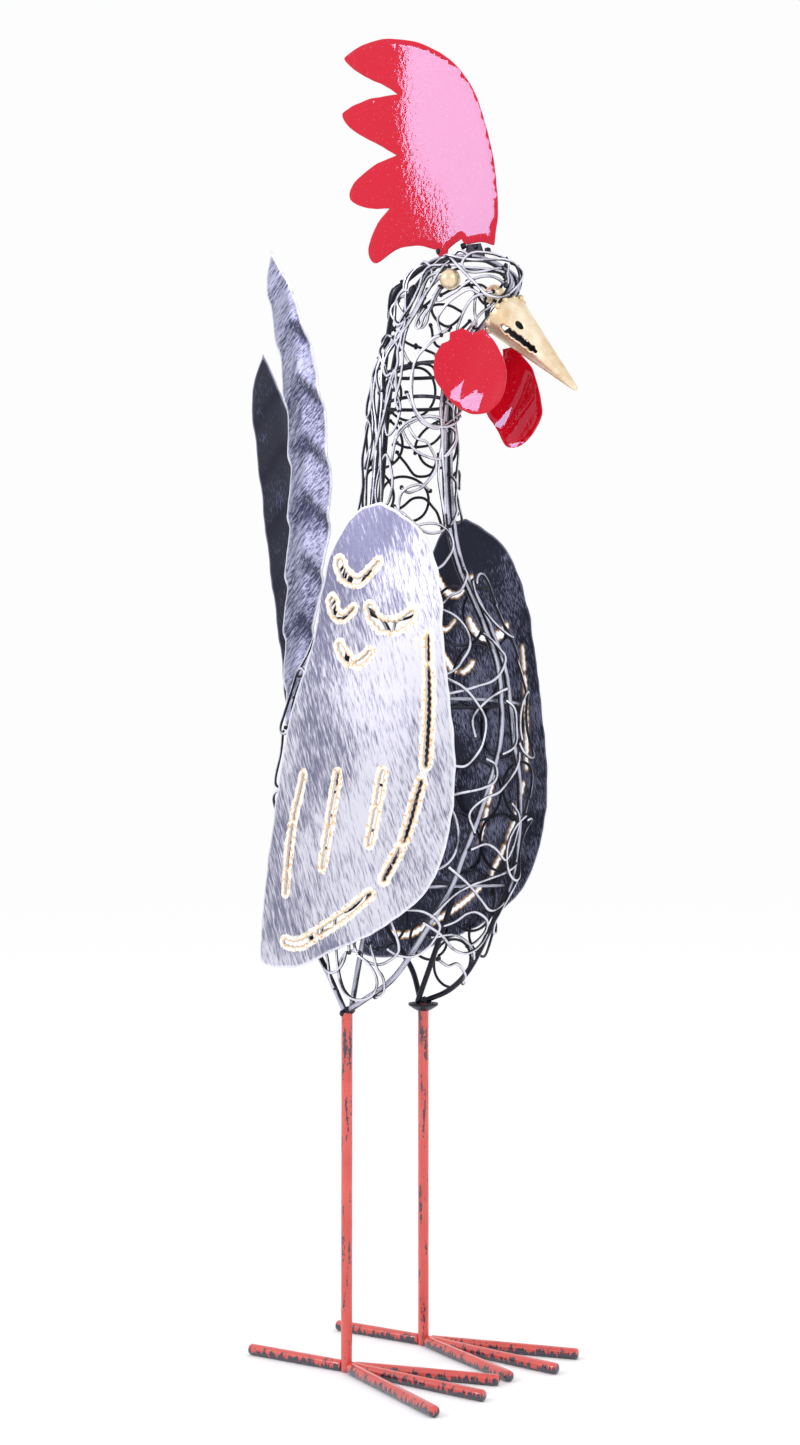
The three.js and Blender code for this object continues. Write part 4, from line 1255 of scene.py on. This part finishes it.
comb_outline = ragged(outline_of(COMB_RUNS), 0.35, 7.0, 5.0)
COMB_TOP = 708.8
comb_outline[:, 1] = np.minimum(comb_outline[:, 1], COMB_TOP)
make_sheet("comb_blade", cut_sheet(comb_outline, [], comb_place, COMB_SHEET, 2.4),
           [RED_ENAMEL] * 3, ["comb"])

# %% [markdown]
# ## Comb plate
#
# A small scrap of sheet stands on the crown under the comb's front and carries it.

# %% Comb plate
PLATE_RUNS = [[(-52.5, 580.5), (-66, 576)], [(-66, 576), (-62.5, 585.4)], [(-62.5, 585.4), (-54, 586)],
              [(-54, 586), (-52.5, 580.5)]]


def upright(y, z):
    return np.stack([y * 0, y, z], -1)


make_sheet("comb_foot_plate", cut_sheet(outline_of(PLATE_RUNS, 1.0), [], upright, SHEET, 1.5),
           [BLACK_ROD] * 3, ["comb_plate"])

# %% [markdown]
# ## Wattles
#
# Two rounded leaves hang under the beak, each from a tab. The right one is dished outward at its rim and
# the left one inward. A slight ripple breaks the light into a few blobs, as hammered sheet does.

# %% Wattles
# Each wattle: side, middle height and depth, how far out it hangs, how it flares, and its runs.
WATTLES = {
    "right": (-1, -68, 512.5, 15.5, 2.6, [
        [(16.8, 18.3), (21, 12.5), (22, 5.4), (20.5, -1.2), (12.7, -11.7), (0.1, -19.6), (-12.3, -20.3),
         (-20.9, -13.5), (-22.8, -1.2), (-17.2, 12.8), (-9.1, 22.2)],
        [(-9.1, 22.2), (-1.9, 21.1)], [(-1.9, 21.1), (3.9, 24.4)], [(3.9, 24.4), (11.2, 23.1)],
        [(11.2, 23.1), (11.7, 19.1)], [(11.7, 19.1), (16.8, 18.3)]]),
    "left": (1, -71, 505, 18.5, -3.2, [
        [(13, 20), (18, 9), (17.2, -3), (11.6, -12.4), (1.8, -24.8), (-8.8, -24.3), (-17.9, -13.3),
         (-18.4, -3.8), (-12.8, 13.8), (-7, 22)],
        [(-7, 22), (-7, 27)], [(-7, 27), (4, 26.5)], [(4, 26.5), (4.5, 23)], [(4.5, 23), (13, 20)]]),
}
for side_name, (side, y0, z0, middle, flare, runs) in WATTLES.items():
    def wattle_place(y, z):
        away = ((y - y0) ** 2 + (z - z0) ** 2) / 500
        ripple = 0.35 * np.sin(y / 5 + z / 7)
        return np.stack([side * (middle + flare * away + ripple), y, z], -1)

    leaf = ragged(outline_of(runs, 1.0) + (y0, z0), 0.3, 6.0, side * 4.0)
    make_sheet(f"wattle_leaf_{side_name}", cut_sheet(leaf, [], wattle_place, SHEET, 1.6),
               [RED_ENAMEL] * 3, [f"wattle_{side_name}"])

# %% [markdown]
# ## Gold: beak and eyes
#
# The beak and the eyes are steel under brushed brass-coloured paint. It is satin and a little cloudy, and
# a few pits in the steel show as dark specks.

# %% Gold paint
material, tree = start_material("steel brass coloured paint satin")
clouds = grain(tree, 9, detail=3.0)
speckle = grain(tree, 0.7)
golds = add(tree, "MapRange", {"Value": clouds, "From Min": 0.3, "From Max": 0.7})
cloudy = {"Factor": golds, "A": linear("#DDBF90"), "B": linear("#FCEED4")}
colour = add(tree, "Mix", cloudy, data_type="RGBA")
pits = add(tree, "MapRange", {"Value": speckle, "From Min": 0.64, "From Max": 0.74, "To Max": 0.4})
colour = add(tree, "Mix", {"Factor": pits, "A": colour, "B": linear("#8A6A44")}, data_type="RGBA")
surface = add(tree, "BsdfPrincipled", {
    "Base Color": colour,
    "Metallic": 0.8,
    "Roughness": add(tree, "MapRange", {"Value": speckle, "To Min": 0.2, "To Max": 0.45}),
    "Normal": add(tree, "Bump", {"Height": speckle, "Distance": 0.00004}),
})
add(tree, "OutputMaterial", {"Surface": surface})
GOLD_PAINT = material
print(GOLD_PAINT.name)

# %% [markdown]
# ## Beak
#
# A cone rolled from sheet, with the seam underneath. It is drawn unrolled, as a strip that runs round the
# base and along the beak, so the mouth and the nostrils can be cut in it like the wing's slots. The
# rolling then narrows the strip to the tip. No paint reached the inside, which stays black.

# %% Beak
BEAK_BASE = np.array([0, -77.9, 545.3])
BEAK_PITCH = math.radians(45.4)
BEAK_LENGTH = 62.6
BEAK_RADIUS = 12.0
beak_along = np.array([0, -math.cos(BEAK_PITCH), -math.sin(BEAK_PITCH)])
beak_under = np.array([0, math.sin(BEAK_PITCH), -math.cos(BEAK_PITCH)])
beak_aside = np.array([1.0, 0, 0])


def beak_radius(along):
    return np.interp(along, [0, 31, 60.6, 62.6], [BEAK_RADIUS, 6.6, 1.5, 0.5]) - SHEET / 2


def beak_place(u, along):
    """u is the distance round the base from the top line, so the seam is underneath."""
    angle = u / BEAK_RADIUS
    radius = beak_radius(along)
    return (BEAK_BASE + along[:, None] * beak_along + (radius * np.cos(angle))[:, None] * -beak_under
            + (radius * np.sin(angle))[:, None] * beak_aside)


half_turn = math.pi * BEAK_RADIUS - 0.25
beak_ends = (0.3, BEAK_LENGTH - 0.8)
corners = [(-half_turn, beak_ends[0]), (half_turn, beak_ends[0]), (half_turn, beak_ends[1]),
           (-half_turn, beak_ends[1])]
edge = [[a, b] for a, b in zip(corners, corners[1:] + corners[:1])]
beak_holes = []
for side in (-1, 1):
    quarter = side * BEAK_RADIUS * math.pi / 2
    mouth = [(quarter + side * (3.4 - 4 * t), 8.6 + 25 * t) for t in (0.0, 0.33, 0.67, 1.0)]
    beak_holes.append(torch_slot(mouth, (4.2, 4.8, 5.6, 6.6), 4.2, 1.0 + side, 0.5))
    turn = np.linspace(0, 2 * math.pi, 18, endpoint=False)
    nostril = (quarter - side * 5.7 + 2.2 * np.cos(turn), 16.2 + 3.0 * np.sin(turn))
    beak_holes.append(np.stack(nostril, -1))
make_sheet("beak_cone", cut_sheet(outline_of(edge, 1.5), beak_holes, beak_place, SHEET, 1.7, 0.6, 0.15),
           [BLACK_ROD, GOLD_PAINT, GOLD_PAINT], ["beak"])


# %% [markdown]
# ## Eyes
#
# Steel balls, painted like the beak and welded to the head's wire. They are spheres with a few
# hundredths of hand polishing, so that their highlights aren't perfectly round.

# %% Eyes
EYE_RADIUS = 5.4
EYE_PLACE = (20, -57.4, 563.2)


def polished(way):
    at_pole = abs(way.z) > 0.9999
    return EYE_RADIUS - (0 if at_pole else 0.15 * abs(noise.noise(way * 1.5)))


for side_name, side in (("right", -1), ("left", 1)):
    points, faces = ball((side * EYE_PLACE[0], *EYE_PLACE[1:]), polished, 24, 32)
    make_piece(f"eye_ball_{side_name}", points, faces, [GOLD_PAINT], [f"eye_{side_name}"],
               crease=60)
print("eyes", 2 * EYE_RADIUS, "mm across")

# %% [markdown]
# ## Welds
#
# Where pieces meet there are lumps of weld: on top of the legs, one on the head, at the back of the beak
# and under the comb. They took whatever paint came next.

# %% Leg dish and welds
DISH_RADIUS = 8.2
turns = 28
# The dish's cross section: distance from the leg's axis, and height.
profile = [(3.1, 180.4), (5.6, 181.7), (8.0, 183.3), (DISH_RADIUS, 184.0), (8.0, 184.7), (5.6, 183.6),
           (3.1, 182.0)]
points = [(LEG_SPREAD + r * math.cos(2 * math.pi * k / turns), r * math.sin(2 * math.pi * k / turns), z)
          for r, z in profile for k in range(turns)]
faces = [[i * turns + k, i * turns + (k + 1) % turns, (i + 1) % len(profile) * turns + (k + 1) % turns,
          (i + 1) % len(profile) * turns + k] for i in range(len(profile)) for k in range(turns)]
make_piece("dish_washer_left", np.array(points), faces, [BLACK_ROD], ["leg_dish_left"])

# Each lump: its place from the leg's top, and its radius.
LEG_TOP_LUMPS = [(0, -1, 0, 2.4), (-1.5, 1.2, -1.2, 2.0), (1.6, -1.8, 0.4, 1.8)]
work = Wirework()
for side in (-1, 1):
    for k, (dx, dy, dz, r) in enumerate(LEG_TOP_LUMPS):
        work.bead((side * LEG_SPREAD + dx, dy, LEG_TOP + 0.6 + dz), r, k + side)
work.bead(off_skin([120], [560], [1.5])[0][0], 2.6, 4.0, 1.4)
for k, (y, z) in enumerate([(-35.5, 585.5), (-51.5, 586), (-60, 584), (-67, 581)]):
    work.bead((0, y, z), 1.7, k + 9)
make_wirework("weld_lumps", work, BLACK_ROD)

work = Wirework()
for k in range(9):
    around = math.radians(-150 + 26 * k)
    out = math.cos(around) * -beak_under + math.sin(around) * beak_aside
    spot = BEAK_BASE + 0.6 * beak_along + (BEAK_RADIUS - 0.6) * out
    work.bead(spot, 1.5 + 0.5 * math.sin(k * 2.3), k + 20)
make_wirework("beak_welds", work, GOLD_PAINT)

# %% [markdown]
# ## Studio
#
# A plain pale floor under a bright even sky, and two softboxes. The small strong one stands to the bird's
# rear right: the flat comb mirrors it as one big pale shape, and the brushed wing catches it as a soft
# glow. The larger, weaker one in front puts pale blobs on the wattles.


# %% Floor, sky and softboxes
def softbox(name, place, target, size, power, tint, roll=0.0):
    light = bpy.data.lights.new(name, "AREA")
    light.shape, light.size, light.size_y = "RECTANGLE", size[0], size[1]
    light.energy, light.color = power, linear(tint)[:3]
    box = bpy.data.objects.new(name, light)
    box.location = to_frame(place)
    aim = Vector(to_frame(target)) - box.location
    turned = aim.to_track_quat("-Z", "Y") @ Quaternion((0, 0, 1), math.radians(roll))
    box.rotation_euler = turned.to_euler()
    bpy.context.scene.collection.objects.link(box)


FLOOR_HALF = 30.0
floor_mesh = bpy.data.meshes.new("studio_floor")
floor_corners = [(x * FLOOR_HALF, y * FLOOR_HALF, 0) for x, y in ((-1, -1), (1, -1), (1, 1), (-1, 1))]
floor_mesh.from_pydata(floor_corners, [], [(0, 1, 2, 3)])
floor = bpy.data.objects.new("studio_floor", floor_mesh)
bpy.context.scene.collection.objects.link(floor)
material, tree = start_material("pale studio floor")
paper = {"Base Color": linear("#FFFFFF"), "Roughness": 1.0, "Specular IOR Level": 0.0}
add(tree, "OutputMaterial", {"Surface": add(tree, "BsdfPrincipled", paper)})
floor_mesh.materials.append(material)

world = bpy.data.worlds.new("studio")
bpy.context.scene.world = world
world.use_nodes = True
world.node_tree.nodes["Background"].inputs["Color"].default_value = linear("#FDFDFE")
world.node_tree.nodes["Background"].inputs["Strength"].default_value = 1.0
bpy.context.scene.view_settings.view_transform = "Standard"

softbox("rear_right_softbox", (-1462, 816, 1275), (-83, -193, 710), (0.45, 0.40), 8.4, "#F4F0FF", roll=9)
softbox("front_softbox", (-700, -1700, 1200), (0, 0, 400), (1.2, 1.2), 5, "#FFFFFF")
print("studio ready")
